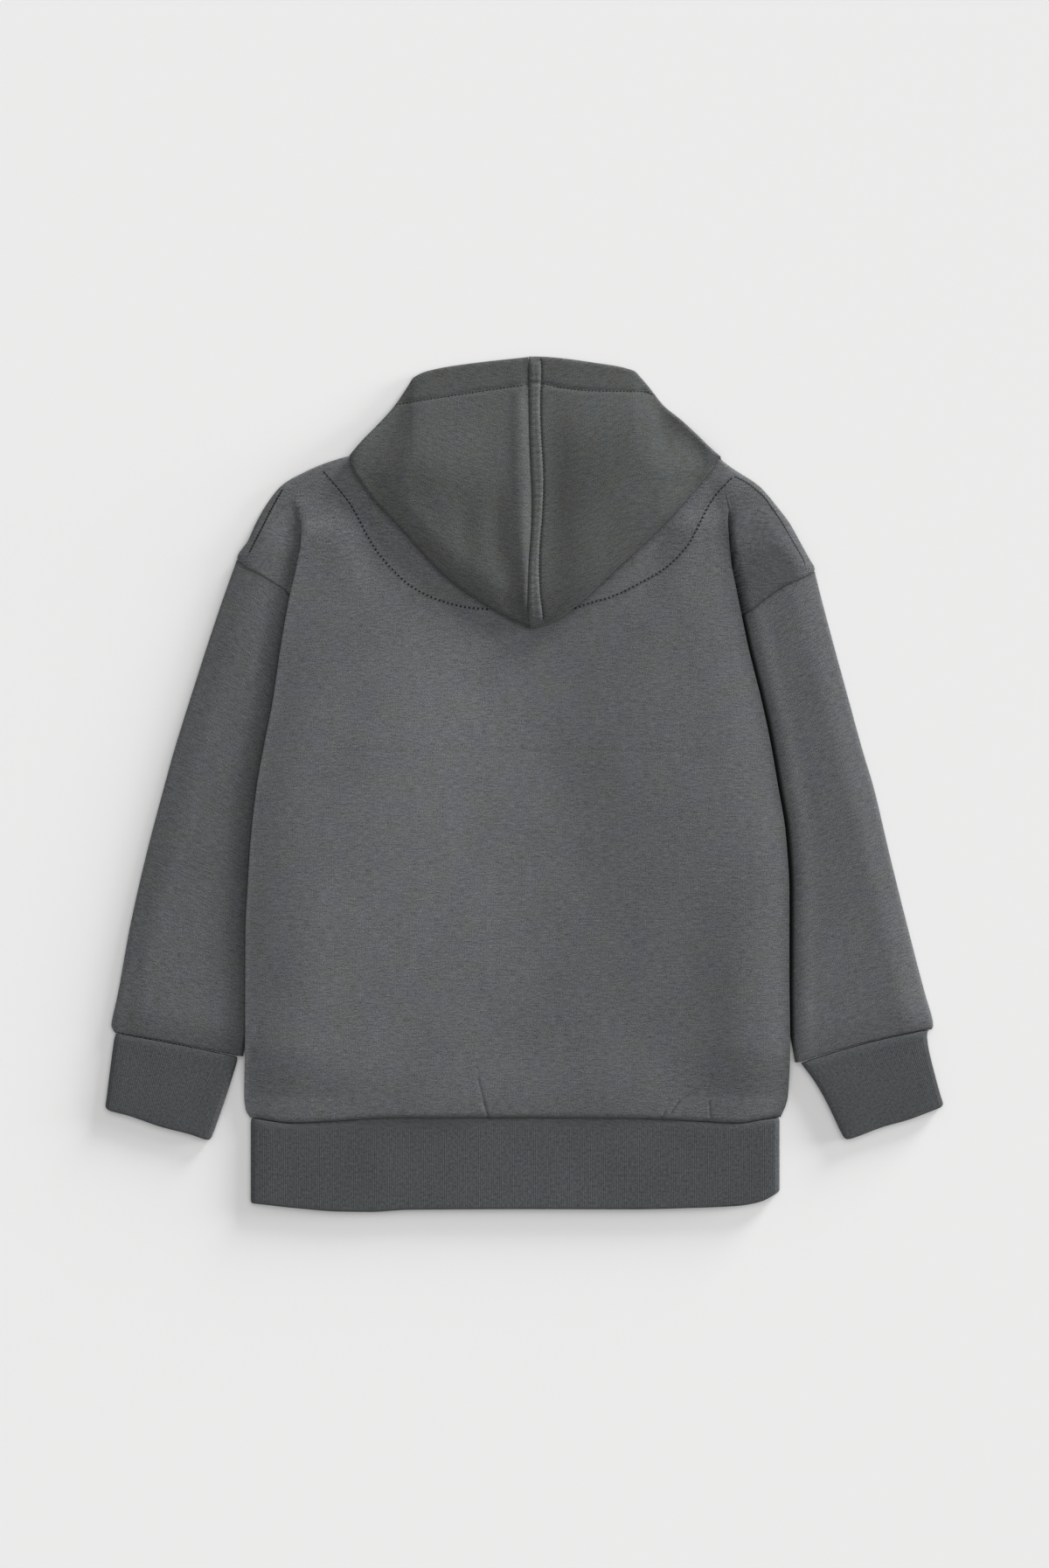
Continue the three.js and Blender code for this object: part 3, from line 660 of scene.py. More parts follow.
def fleece(name, colour):
    """Brushed sweatshirt knit: fine stitches, short pale and dark fibres, and faint broad mottling."""
    finish, shader = new_finish(name, roughness=0.95, sheen=0.12, sheen_roughness=0.4)
    start = Wire(finish.node_tree, None)
    cut = start.node("ShaderNodeUVMap", {"uv_map": "cut"})
    u = cut.node("ShaderNodeSeparateXYZ", None, out=0, i0=cut)
    v = cut.node("ShaderNodeSeparateXYZ", None, out=1, i0=cut)

    def noise(x_scale, y_scale, detail):
        stretched = cut.node(
            "ShaderNodeVectorMath", {"operation": "MULTIPLY"}, i0=cut, i1=(x_scale, y_scale, 1.0)
        )
        return stretched.node(
            "ShaderNodeTexNoise", None, Vector=stretched, Scale=1.0, Detail=detail, Roughness=0.55
        )

    grain = noise(1300, 1500, 2.0)
    streak = noise(230, 1150, 2.0)
    heather = noise(70, 430, 2.0)
    mottle = noise(28, 28, 2.0)
    warmth = noise(60, 75, 3.0)
    course = start.sum_of("SINE", v * (2 * math.pi / COURSE))
    wale = start.sum_of("SINE", u * (2 * math.pi / WALE) + 1.7 * course)
    pale_fibre = noise(420, 900, 1.0)
    fleck = start.node("ShaderNodeMapRange", None, i0=pale_fibre, i1=0.70, i2=0.78, i3=0.0, i4=0.35)
    tone = (
        1.0
        + 1.9 * (grain - 0.5)
        + 1.1 * (streak - 0.5)
        + 0.30 * (heather - 0.5)
        + 0.22 * (mottle - 0.5)
        + 0.035 * wale
        + fleck
    )
    # The cloth's tone with its painted light and shade, read from each piece's vertex layer, scales the
    # colour.
    tone_and_painted_light = start.node("ShaderNodeAttribute", {"attribute_name": "tone_and_painted_light"}, out=2)
    cool = (tone * tone_and_painted_light).shaded(colour)
    hue = start.node("ShaderNodeMapRange", None, i0=warmth, i1=0.35, i2=0.65, i3=0.0, i4=1.0)
    dye = {"data_type": "RGBA", "blend_type": "MULTIPLY"}
    dyed = start.node("ShaderNodeMix", dye, out=2, i0=hue, i6=cool, i7=WARM)
    dyed.feed(shader.inputs["Base Color"])
    height = grain * 0.6 + streak * 0.5 + wale * 0.10
    bump = start.node("ShaderNodeBump", None, Strength=0.5, Distance=0.0004, Height=height)
    bump.feed(shader.inputs["Normal"])
    return finish


BACK_YS = (
    steps(SEAM_Y, -160, 1.0)
    + steps(-160, 14, 2.6)
    + steps(14, 24, 0.8)
    + steps(24, 75, 2.4)
    + steps(75, 116, 1.9)
    + steps(116, 168, 1.3)
    + steps(168, NECK.top, 1.6)
    + [NECK.top]
)
FLEECE_COLOUR = (0.100, 0.105, 0.113)
body_fleece = fleece("body fleece", FLEECE_COLOUR)
# Broad patches where the back's cloth is painted lighter or darker: painted light and shade.
PAINTED_PATCHES = [
    # x, y, half width, half length, how much lighter
    (-10, 0, 85, 95, 0.12),
    (0, -170, 140, 20, 0.05),
    (0, -150, 60, 40, -0.03),
    (-140, -130, 22, 60, -0.09),
    (95, -120, 10, 70, 0.04),
    (60, 100, 60, 30, -0.01),
    (128, 0, 30, 150, -0.05),
    (118, 0, 14, 60, 0.04),
]
SEAM_SHADE = 0.6
CAP_SHADE = 0.9
CREASE_SHADE = 0.55
HEM_SHADE = 0.3
FOLD_SHADE = 0.08
FOLD_ENDS = (100, 120)
FINE_LINE = 0.9
ACROSS_SHADE = 0.0004


def back_painted_light(x, y):
    """How light the back's cloth is painted: painted shade on the caps, in the armhole seam, in the creases,
    along the hem seam and along the storage fold, the painted shadow of the folded edges, a painted highlight
    or shade along those edges, broad patches of painted light and shade, and a little darker towards the
    right.
    """
    side = side_of(x)
    outside = abs(x) - side.body.edge(y)
    folded = 1 - between(side.fades, y)
    # Painted shade on the caps beside the folded edges.
    shaded_cap = side.cap_painted_shade * ease(outside / 2) * folded
    in_seam = outside > 0 and side.underarm_y < y < side.shoulder[1]
    # Painted shade in the armhole seam.
    seam = SEAM_SHADE * math.exp(-(((side.cap.edge(y) - abs(x)) / 1.3) ** 2)) if in_seam else 0
    # The painted shadow of the body's folded edge on the cap.
    shaded = CAP_SHADE * painted_edge_shadow(side, x, y) if outside > 0 else 0
    # A painted highlight or painted shade along the folded edge.
    painted_light = side.painted_light.rim(y) * math.exp(-((outside + 0.9) ** 2))
    painted_light += side.painted_light.glow(y) * math.exp(-(((outside + 2) / 4) ** 2))
    if y < CREASE_TOP:
        # Painted shade in the creases above the hem, and along the hem seam.
        painted_light += CREASE_SHADE * sum(trough(x, y, line) for line in CREASES)
        painted_light -= HEM_SHADE * math.exp(-(((y - HEM.seam(x) - HEM_GAP) / FINE_LINE) ** 2))
    from_fold = y - FOLD_LINE - 0.7 * math.sin(x / 23)
    # Painted shade along the storage fold.
    crease = FOLD_SHADE * math.exp(-((from_fold / FINE_LINE) ** 2)) * (1 - between(FOLD_ENDS, abs(x)))
    # Broad patches of painted light and shade.
    patches = broad_sum(PAINTED_PATCHES, x, y)
    # The back is painted a little darker towards the right.
    return (1 - ACROSS_SHADE * x + patches + painted_light - crease - shaded_cap) * (1 - shaded) * (1 - seam)


back = give_wall(cloth_mesh("back_cloth", [back_row(y) for y in BACK_YS], tone_and_painted_light=back_painted_light))
back.data.materials.append(body_fleece)
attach(back, "root")
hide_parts("back_panel")

# Front panel
# The same cut as the back with a lower neckline. It lies on the table under everything else
# and rises at each side over the tucked edge of a sleeve.
SHOULDER_INSET = 4.2
FRONT_NECK_BENDS = (10, NECK.top)
FRONT_HEM_BENDS = -90
FRONT_COLUMNS = 90


def front_edge(side, y):
    if y < side.underarm_y - 0.01:
        return side.body.inner(y) - 0.6
    return side.cap.edge(y) - SHOULDER_INSET * ease((y - side.shoulder[1]) / 4)


def front_row(y):
    top_bend = between(FRONT_NECK_BENDS, y)
    low = (y - FRONT_HEM_BENDS) / (SEAM_Y - FRONT_HEM_BENDS) if y < FRONT_HEM_BENDS else 0
    row = []
    for s in spread(FRONT_COLUMNS, 0, 1):
        eased = lerp(s, 0.5 - 0.5 * math.cos(math.pi * s), 0.75)
        x = lerp(-front_edge(LEFT, y), front_edge(RIGHT, y), eased)
        place_y = y - top_bend * neck_dip(x, NECK.front) + low * (HEM.seam(x) + HEM_GAP - SEAM_Y)
        row.append((x, place_y, front_height(x, y)))
    return row


FRONT_YS = steps(SEAM_Y, 30, 4.0) + steps(30, 75, 2.6) + steps(75, NECK.top, 3.0) + [NECK.top]
front = give_wall(cloth_mesh("front_cloth", [front_row(y) for y in FRONT_YS]))
front.data.materials.append(body_fleece)
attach(front, "root")
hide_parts("front_panel")

# Sleeves
# Each is one cut of the same fleece, closed into a tube under the arm and laid flat. The outer
# half puffs up and the inner edge is tucked under the body.
# How light the sleeves are painted: their tone, painted light towards the cuffs, painted shade along the
# right outer edge and painted light along the left, and painted shade in the seams.
SLEEVE_TONE = 0.90
LOWER_SLEEVE_GLOW = 0.05
OUTER_EDGE_SHADE = 0.14
SLEEVE_SEAM_SHADE = 0.5


def sleeve_painted_light(x, y):
    """How light the sleeve's cloth is painted: painted light towards the cuff, painted shade along the right
    sleeve's outer edge and painted light along the left's, painted shade in the armhole and cuff seams, and
    the painted shadow of the body's folded edge where it lies on the sleeve.
    """
    side = side_of(x)
    # Painted light towards the cuff.
    turned = LOWER_SLEEVE_GLOW * ease((-40 - y) / 70)
    from_outer = side.sleeve.outer(y) - abs(x)
    # Painted shade along the right sleeve's outer edge, painted light along the left's.
    turned -= OUTER_EDGE_SHADE * side.sign * math.exp(-(((from_outer - 1) / 6) ** 2))
    at_armhole = math.exp(-(((abs(x) - side.cap.edge(y)) / 1.6) ** 2)) if y > side.underarm_y else 0
    cuff = side.cuff
    c = (cuff.outer[0] - abs(x)) / (cuff.outer[0] - cuff.inner[0])
    at_cuff = math.exp(-(((y - cuff_seam_point(side, c)[1] - 0.5) / FINE_LINE) ** 2))
    # Painted shade in the armhole and cuff seams.
    at_seam = SLEEVE_SEAM_SHADE * max(at_armhole, at_cuff)
    # The sleeve's tone, darkened by the painted shadow of the body's folded edge and the painted shade in the
    # seams.
    return (SLEEVE_TONE + turned) * (1 - painted_edge_shadow(side, x, y)) * (1 - at_seam)


SLEEVE_ARC = [math.radians(a) for a in (60, 30, 0, -30, -60)]
SLEEVE_LENGTH = 250
SLEEVE_ROUND = 17
ARMHOLE_SHARE = 0.25
CUFF_END_SHARE = 0.3
CUFF_END_RUN = 0.08


def flat_ring(across, width, top, shares, below):
    """A flattened tube's cross section: over the top, round the inner fold and back below."""
    margin = TURN / width
    ring = []

    def put(c, z):
        x, y = across(c)
        ring.append((x, y, z))

    for share in shares:
        c = lerp(margin, 1 - margin, share)
        put(c, FLOOR_MID + PLY + top(across(c), c))
    for a in SLEEVE_ARC:
        put(1 - margin + margin * math.cos(a), FLOOR_MID + TURN + TURN * math.sin(a))
    for c in spread(below, 1 - margin, margin):
        put(c, FLOOR_MID)
    for a in SLEEVE_ARC[::-1]:
        put(margin - margin * math.cos(a), FLOOR_MID + TURN + TURN * math.sin(a))
    ring.append(ring[0])
    return ring[::-1]


def armhole_point(side, c):
    y = lerp(side.shoulder[1], side.underarm_y, c)
    return side.cap.edge(y) + 0.2 + c**4, y


def cuff_seam_point(side, c):
    cuff = side.cuff
    sagging = cuff.sag * 4 * c * (1 - c)
    return lerp(cuff.outer[0], cuff.inner[0], c), lerp(cuff.outer[1], cuff.inner[1], c) + sagging


def sleeve_ring(side, v):
    outer_y = lerp(side.shoulder[1] + 0.6, side.cuff.outer[1] + 0.5, v)
    inner_y = lerp(side.underarm_y - 0.8, side.cuff.inner[1] + 0.6, v)
    outer = (side.sleeve.outer(outer_y) - CLOTH / 2, outer_y)
    inner = (side.tucked.inner(inner_y), inner_y)
    at_armhole = (1 - clamp01(v / ARMHOLE_SHARE)) ** 2

    def across(c):
        seam = armhole_point(side, clamp01(c))
        bent = side.cuff.sag * 4 * c * (1 - c) * v**6
        x = lerp(lerp(outer[0], inner[0], c), seam[0], at_armhole)
        y = lerp(lerp(outer[1], inner[1], c), seam[1], at_armhole)
        return x * side.sign, y + bent

    width = math.dist(outer, inner)
    at_seam = math.exp(-((v * SLEEVE_LENGTH / SEAM_HALF) ** 2))
    ends = (1 - SEAM_PINCH * at_seam) * lerp(CUFF_END_SHARE, 1, dome((1 - v) / CUFF_END_RUN))

    def top(place, c):
        outside = abs(place[0]) - side.body.edge(place[1]) - side.gap
        lying = side.lie * math.exp(-((outside / (7 if outside > 0 else 1.5)) ** 2))
        puff = LOFT * dome(c * width / SLEEVE_ROUND) * dome(outside / side.rise)
        return (puff + lying) * ends - SEAM_DEPTH * at_seam

    body_edge = clamp01((outer[0] - side.body.edge(outer_y)) / (outer[0] - inner[0]))
    near, past = max(0.2, body_edge - 9 / width), min(0.95, body_edge + 4 / width)
    shares = [lerp(0, near, s) for s in spread(36, 0, 1)]
    shares += [lerp(near, past, s) for s in spread(22, 0, 1)[1:]]
    shares += [lerp(past, 1, s) for s in spread(10, 0, 1)[1:]]
    return flat_ring(across, width, top, shares, below=20)


SLEEVE_VS = (
    steps(0, 0.024, 0.003)
    + steps(0.024, 0.12, 0.01)
    + steps(0.12, 0.93, 0.0125)
    + steps(0.93, 1, 0.004)
    + [1]
)
for side in (LEFT, RIGHT):
    rings = [sleeve_ring(side, v) for v in SLEEVE_VS]
    if side.sign < 0:
        rings = [ring[::-1] for ring in rings]
    sleeve = give_wall(cloth_mesh(f"sleeve_{side.name}_cloth", rings, tone_and_painted_light=sleeve_painted_light))
    sleeve.data.materials.append(body_fleece)
    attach(sleeve, "root")
    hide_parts(f"sleeve_{side.name}")

# Rib knit cuffs and hem band
# Each is a strip of one-by-one rib, folded in half along its length and closed into a ring, so
# its lower edge is a fold. The ribs stand on both sides of the ring.
RIB_PITCH = 1.1
RIB_HEIGHT = 0.20
RIB_CLOTH = 2.2
RIB_TURN = RIB_CLOTH / 2 + 0.3
RIB_STEPS = 4
SEAM_GAP = 0.15
RIB_RISE = [0.5 - 0.5 * math.cos(2 * math.pi * k / RIB_STEPS) for k in range(RIB_STEPS)]
OUTER_TURN = RIB_TURN + RIB_CLOTH / 2
RIB_TURNS = RIB_STEPS * round(math.pi * OUTER_TURN / RIB_PITCH) + 1


def rib_ring(across, width, top, columns, inset, relief):
    """A ring of ribs round a flattened tube. inset draws it in towards the tube's middle."""
    turn = OUTER_TURN - inset
    margin, reach = OUTER_TURN / width, turn / width
    places = []
    for c in spread(columns, margin, 1 - margin):
        places.append((c, inset + 2 * turn + top(across(c), c), 0, 1))
    for a in spread(RIB_TURNS, math.pi / 2, -math.pi / 2)[1:-1]:
        out, up = math.cos(a), math.sin(a)
        places.append((1 - margin + reach * out, OUTER_TURN + turn * up, out, up))
    for c in spread(columns, 1 - margin, margin):
        places.append((c, inset, 0, -1))
    for a in spread(RIB_TURNS, -math.pi / 2, math.pi / 2)[1:-1]:
        out, up = math.cos(a), math.sin(a)
        places.append((margin - reach * out, OUTER_TURN + turn * up, -out, up))
    ring = []
    for k, (c, z, out, up) in enumerate(places):
        sunk = relief * (RIB_RISE[k % RIB_STEPS] - 1)
        x, y = across(c + out * sunk / width)
        ring.append((x, y, z + up * sunk))
    return ring + ring[:1]


def rib_knit(name, colour):
    """One-by-one rib: fine stitches, with painted light on the ridges and painted shade in the furrows."""
    finish, shader = new_finish(name, roughness=0.92, sheen=0.10, sheen_roughness=0.4)
    start = Wire(finish.node_tree, None)
    cut = start.node("ShaderNodeUVMap", {"uv_map": "cut"})
    stretched = cut.node("ShaderNodeVectorMath", {"operation": "MULTIPLY"}, i0=cut, i1=(620, 760, 1.0))
    grain = stretched.node("ShaderNodeTexNoise", None, Vector=stretched, Scale=1.0, Detail=3.0, Roughness=0.7)
    broad = cut.node("ShaderNodeVectorMath", {"operation": "MULTIPLY"}, i0=cut, i1=(26, 26, 1.0))
    mottle = broad.node("ShaderNodeTexNoise", None, Vector=broad, Scale=1.0, Detail=2.0)
    ridge = cut.node("ShaderNodeAttribute", {"attribute_name": "ridge"}, out=2)
    tone_and_painted_light = cut.node("ShaderNodeAttribute", {"attribute_name": "tone_and_painted_light"}, out=2)
    # The ridges are painted lighter and the furrows darker, as painted shade in the furrows.
    tone = (0.92 + 0.14 * ridge + 1.9 * (grain - 0.5) + 0.3 * (mottle - 0.5)) * tone_and_painted_light
    tone.shaded(colour).feed(shader.inputs["Base Color"])
    bump = start.node("ShaderNodeBump", None, Strength=0.4, Distance=0.0003, Height=grain)
    bump.feed(shader.inputs["Normal"])
    return finish


rib_finish = rib_knit("rib knit", (0.073, 0.078, 0.082))


def ribbed_tube(name, place, width, top, tone_and_painted_light):
    """A doubled ring of rib. place(c, v) is the plan place at c across and v from the seam to the fold."""
    columns = RIB_STEPS * round(width / RIB_PITCH) + 1
    layers = [(0, 0.6, 0), (0.02, 0.3, 0.2 * RIB_HEIGHT), (0.05, 0, 0.6 * RIB_HEIGHT)]
    layers += [(v, 0, RIB_HEIGHT) for v in spread(9, 0.1, 0.97)]
    for s in (0.25, 0.5, 0.75, 1.0):
        a = math.pi / 2 * s
        layers.append((0.97 + 0.03 * math.sin(a), RIB_CLOTH / 2 * (1 - math.cos(a)), RIB_HEIGHT * (1 - s)))
    for s in (0.33, 0.66, 1.0):
        a = math.pi / 2 * s
        layers.append((0.97 + 0.03 * math.cos(a), RIB_CLOTH / 2 * (1 + math.sin(a)), 0))
    layers += [(0.5, RIB_CLOTH, 0), (0, RIB_CLOTH, 0), layers[0]]
    rings = []
    for v, inset, relief in layers:
        across = partial(lambda v, c: place(c, v), v)
        rings.append(rib_ring(across, width, top, columns, inset, relief))
    tube = cloth_mesh(name, rings, ridge=RIB_RISE, tone_and_painted_light=tone_and_painted_light)
    tube.data.materials.append(rib_finish)
    return tube


CUFF_WAVE = 0.35
CUFF_CORNER = 1.6
CUFF_LOFT = 0.5
LEFT_CUFF_TONE = 0.9
RIGHT_CUFF_TONE = 1.02
CUFF_EDGE_SHADE = 0.42
CUFF_EDGE = table("y x", [(-140, 231.4), (-153, 231.4), (-165, 234.4), (-176, 237.4), (-186, 240)])
for side in (LEFT, RIGHT):
    cuff = side.cuff
    cuff_width = math.dist(cuff.outer, cuff.inner)

    def cuff_place(c, v, side=side, cuff=cuff):
        seam = cuff_seam_point(side, c)
        end = [lerp(outer, inner, c) for outer, inner in zip(cuff.outer_end, cuff.inner_end)]
        pinch = cuff.bow * math.sin(math.pi * clamp01(v) ** lerp(0.45, 0.7, clamp01(c))) * (2 * c - 1)
        wave = CUFF_WAVE * math.sin(11 * c + side.sign) * v**6
        rounding = CUFF_CORNER * (2 * abs(c - 0.5)) ** 24 * v**12
        x = (lerp(seam[0], end[0], v) + pinch) * side.sign
        return x, lerp(seam[1] - SEAM_GAP, end[1], v) + rounding + wave

    def cuff_painted_light(x, y, side=side):
        if side is LEFT:
            return LEFT_CUFF_TONE
        # Painted shade along the right cuff's outer edge.
        return RIGHT_CUFF_TONE - CUFF_EDGE_SHADE * math.exp(-(((CUFF_EDGE.x(y) - 0.8 - x) / 2.2) ** 2))

    def cuff_top(place, c):
        return CUFF_LOFT * dome(min(c, 1 - c) * 8)

    tube = ribbed_tube(f"cuff_{side.name}_rib", cuff_place, cuff_width, cuff_top, cuff_painted_light)
    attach(tube, "root")
    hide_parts(f"cuff_{side.name}")

BAND_LEFT, BAND_RIGHT = -156.4, 145.7


def band_place(c, v):
    x = lerp(BAND_LEFT, BAND_RIGHT, c)
    return x, lerp(HEM.seam(x) - SEAM_GAP, HEM.end(x), v)


band_width = BAND_RIGHT - BAND_LEFT
BAND_LOFT = 0.7
BAND_ROUND = 12
BAND_TONE = 0.89
BAND_GLOW = 0.12


def band_top(place, c):
    return BAND_LOFT * dome(min(c, 1 - c) * band_width / BAND_ROUND)


def band_painted_light(x, y):
    # Painted light across the middle of the band.
    return BAND_TONE + BAND_GLOW * math.exp(-(((x - 10) / 95) ** 2))


band = ribbed_tube("hem_band_rib", band_place, band_width, band_top, band_painted_light)
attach(band, "root")
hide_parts("hem_band")

# Hood
# Two mirrored cuts of the same fleece, joined by a centre seam whose allowance is pressed to the
# right and topstitched, with a 16 mm hem round the face opening. It lies spread above the shoulders.
HOOD_CLEAR = PLY + 0.25
RIM_HEM = 16
GROOVE = 0.8
SEAM_GROOVE_DEPTH = 1.3
STITCH_GROOVE_DEPTH = 1.1
HEM_GROOVE_DEPTH = 0.7
WELT = 1.3
PUCKER = 0.25
NEAR_CORNER = (0.66, 0.98)
CROWN_LOFT = 1.4
CROWN_SHARE = 0.55
RIM_RUN = 50
DETAIL_ENDS = 22
CROWN_ROWS = 150
FLAP_ROWS = 12
HEM_NARROWS = (60, 72)
HOOD_SEAM = table(
    "y x",
    [
        (244.3, 2.4), (228, 2.6), (200, 2.9), (180, 3.6), (161, 4.4), (148, 4.2), (138, 3.6),
        (128, 2.8), (118, 2.3), (108, 2.1), (98, 2.4), (88, 3.2),
    ],
)
HOOD_STITCH = table(
    "y x",
    [
        (244.3, 9.6), (230, 9.6), (218, 9), (205, 9.2), (191, 10), (172, 10.8), (161, 10.5),
        (150, 9.9), (138, 8.9), (125, 8.3), (112, 8.6), (100, 10), (92, 11),
    ],
)
HOOD_LEFT = SimpleNamespace(
    name="left",
    sign=-1,
    seam=2.75,
    last=-99.2,
    edge_puff=3.4,
    edge_run=20,
    seam_run=5,
    rim_corner=(-73.5, 216.25),
    top=table(
        "x y",
        [
            (6, 244.25), (-30.5, 240.25), (-54, 236.25), (-63, 232.25), (-65.5, 228.25), (-73.5, 216.25),
            (-84, 204.3), (-92, 196), (-100, 186.5),
        ],
    ),
    low=table("x y", [(3.3, 88.8), (-16, 98.4), (-44, 117.5), (-66, 141), (-95.5, 176), (-100, 186.3)]),
    stitch=table("x y", [(1.5, 227.5), (-22, 224.3), (-47, 220.4), (-72, 216.5)]),
)
HOOD_RIGHT = SimpleNamespace(
    name="right",
    sign=1,
    seam=2.95,
    last=111.4,
    edge_puff=3.0,
    edge_run=10,
    seam_run=38,
    rim_corner=(79, 216.25),
    top=table(
        "x y",
        [
            (2, 244.2), (6, 244.2), (43, 240.25), (62, 236.25), (66, 232.25), (69.5, 228.25),
            (79, 216.25), (88.5, 208.25), (97, 200.25), (105, 192.25), (112.3, 186),
        ],
    ),
    low=table(
        "x y",
        [
            (2, 88.6), (3.5, 88.4), (11.8, 91), (19, 94), (29.4, 101.3), (51.4, 121.9), (80.6, 149.7),
            (112.3, 186.2),
        ],
    ),
    stitch=table("x y", [(1.5, 228), (10, 228.3), (22, 225.8), (36.5, 224.3), (72, 223.4), (80, 217.3)]),
)
HOOD_SWELLS = [
    # x, y, half width, half length, height
    (-3, 196, 4.2, 34, 1.2),
    (-2, 145, 5, 22, 1.3),
    (1, 112, 3, 18, 1.2),
    (-15, 140, 6, 20, -1.1),
    (-8, 112, 6, 18, -1.3),
    (-34, 146, 6, 13, -0.5),
    (18, 150, 9, 50, -1.2),
    (62, 160, 20, 22, 1.2),
    (30, 205, 34, 16, 0.6),
    (-45, 185, 24, 24, 1.0),
]


def neck_y(x, low):
    return NECK.top - (neck_dip(x, low) if abs(x - NECK.middle) < NECK.half else 0)


def hood_detail(half, x, y):
    """The seam's groove, the welt beside it, the hem's stitched line and the broad soft folds."""
    from_seam = abs(x - HOOD_SEAM.x(y))
    groove = -SEAM_GROOVE_DEPTH * math.exp(-((from_seam / GROOVE) ** 2))
    soft = broad_sum(HOOD_SWELLS, x, y)
    rim = -HEM_GROOVE_DEPTH * math.exp(-(((y - half.stitch.y(x)) / 1.3) ** 2)) if abs(x) < 80 else 0
    welt = 0
    if half.sign > 0:
        across = (x - HOOD_SEAM.x(y)) / (HOOD_STITCH.x(y) - HOOD_SEAM.x(y))
        pucker = PUCKER * math.sin(y * 1.9) * math.sin(y * 0.37 + 1)
        welt = (WELT + pucker) * min(1, 5 * clamp01(across) * (1 - clamp01(across)))
        welt -= STITCH_GROOVE_DEPTH * math.exp(-(((x - HOOD_STITCH.x(y)) / GROOVE) ** 2))
    return groove + soft + rim + welt


def hood_column(half, x):
    """A section of the half: its flap over the back, the lower fold, and the crown up to the rim."""
    top = half.top.y(x) - CLOTH / 2
    low = half.low.y(x) + CLOTH / 2
    outward = abs(x - half.seam) / abs(half.last - half.seam)
    near_corner = between(NEAR_CORNER, outward)
    turn = min(TURN, (top - low) / 5)
    flap_end = lerp(low, top, 0.5)

    def laid_x(y):
        middle = (HOOD_LEFT.seam + HOOD_RIGHT.seam) / 2
        return x + (1 - outward) ** 3 * (HOOD_SEAM.x(y) - middle)

    def flap_z(y):
        return back_height(x, min(y, flap_end)) + HOOD_CLEAR

    fold_z = flap_z(low + turn)
    rim_z = lerp(LEVEL[1], fold_z + PLY, near_corner)
    section = [(y, flap_z(y)) for y in spread(FLAP_ROWS, flap_end, low + turn)]
    for a in ARC[1:-1]:
        section.append((low + turn - turn * math.cos(a), fold_z + TURN + TURN * math.sin(a)))
    for s in spread(CROWN_ROWS, 0, 1):
        y = lerp(low + turn, top - turn, s)
        room = (1 - near_corner) * lerp(CROWN_SHARE, 1, dome(abs(x - half.seam) / half.seam_run))
        puff = CROWN_LOFT * math.sin(math.pi * s)
        puff += half.edge_puff * dome((y - low) / half.edge_run) * dome((top - y) / RIM_RUN)
        edge = dome(s * DETAIL_ENDS) * dome((1 - s) * DETAIL_ENDS) * (1 - near_corner)
        plain = lerp(flap_z(y) + PLY, rim_z, ease((y - flap_end + 8) / (top - flap_end + 4)))
        section.append((y, plain + puff * room + edge * hood_detail(half, laid_x(y), y)))
    top_z = section[-1][1]
    for a in ARC[-2:0:-1]:
        section.append((top - turn + turn * math.cos(a), top_z - TURN + TURN * math.sin(a)))
    back_hem = lerp(RIM_HEM, 2 * turn, between(HEM_NARROWS, abs(x)))
    section += [(y, top_z - PLY) for y in spread(3, top - turn, top - back_hem)]
    return [(laid_x(y), y, z) for y, z in section]


def front_flap_column(half, x):
    """The hood's front edge lies hidden under the rim, between the front neckline and the rim's line."""
    corner_x, corner_y = half.rim_corner
    rim = corner_y - (corner_x - x) * (corner_y - 121) / (corner_x - NECK.middle)
    top = half.top.y(x) - 2.2
    if abs(x) <= abs(corner_x):
        top = min(top, rim)
    low = neck_y(x, NECK.front) + 1.3 + 2.5 * min(1, abs(x - NECK.middle) / NECK.half) ** 2
    return [(x, y, FLOOR_MID) for y in spread(24, low, top)]


HOOD_COLOUR = (0.071, 0.076, 0.077)
# Broad patches where the hood is painted lighter or darker: painted light and shade.
HOOD_PAINTED_PATCHES = [
    # x, y, half width, half length, how much lighter
    (45, 190, 35, 22, -0.08),
    (25, 130, 30, 30, 0.09),
    (-20, 135, 20, 30, -0.04),
    (76, 204, 16, 16, -0.2),
    (64, 165, 14, 12, 0.12),
    (45, 148, 12, 12, 0.08),
    (12.5, 195, 2.2, 30, 0.1),
    (-84, 168, 16, 16, 0.14),
    (-65, 150, 14, 14, 0.1),
    (-5, 200, 3, 30, 0.1),
    (-6, 148, 5, 18, 0.2),
    (-35, 205, 34, 16, -0.05),
    (8, 102, 30, 8, -0.08),
]


WELT_GLOW = (0.36, -0.1)
BESIDE_SEAM_SHADE = 0.17
LOW_EDGE_SHADE = 0.16
RIM_HEM_SHADE = 0.09


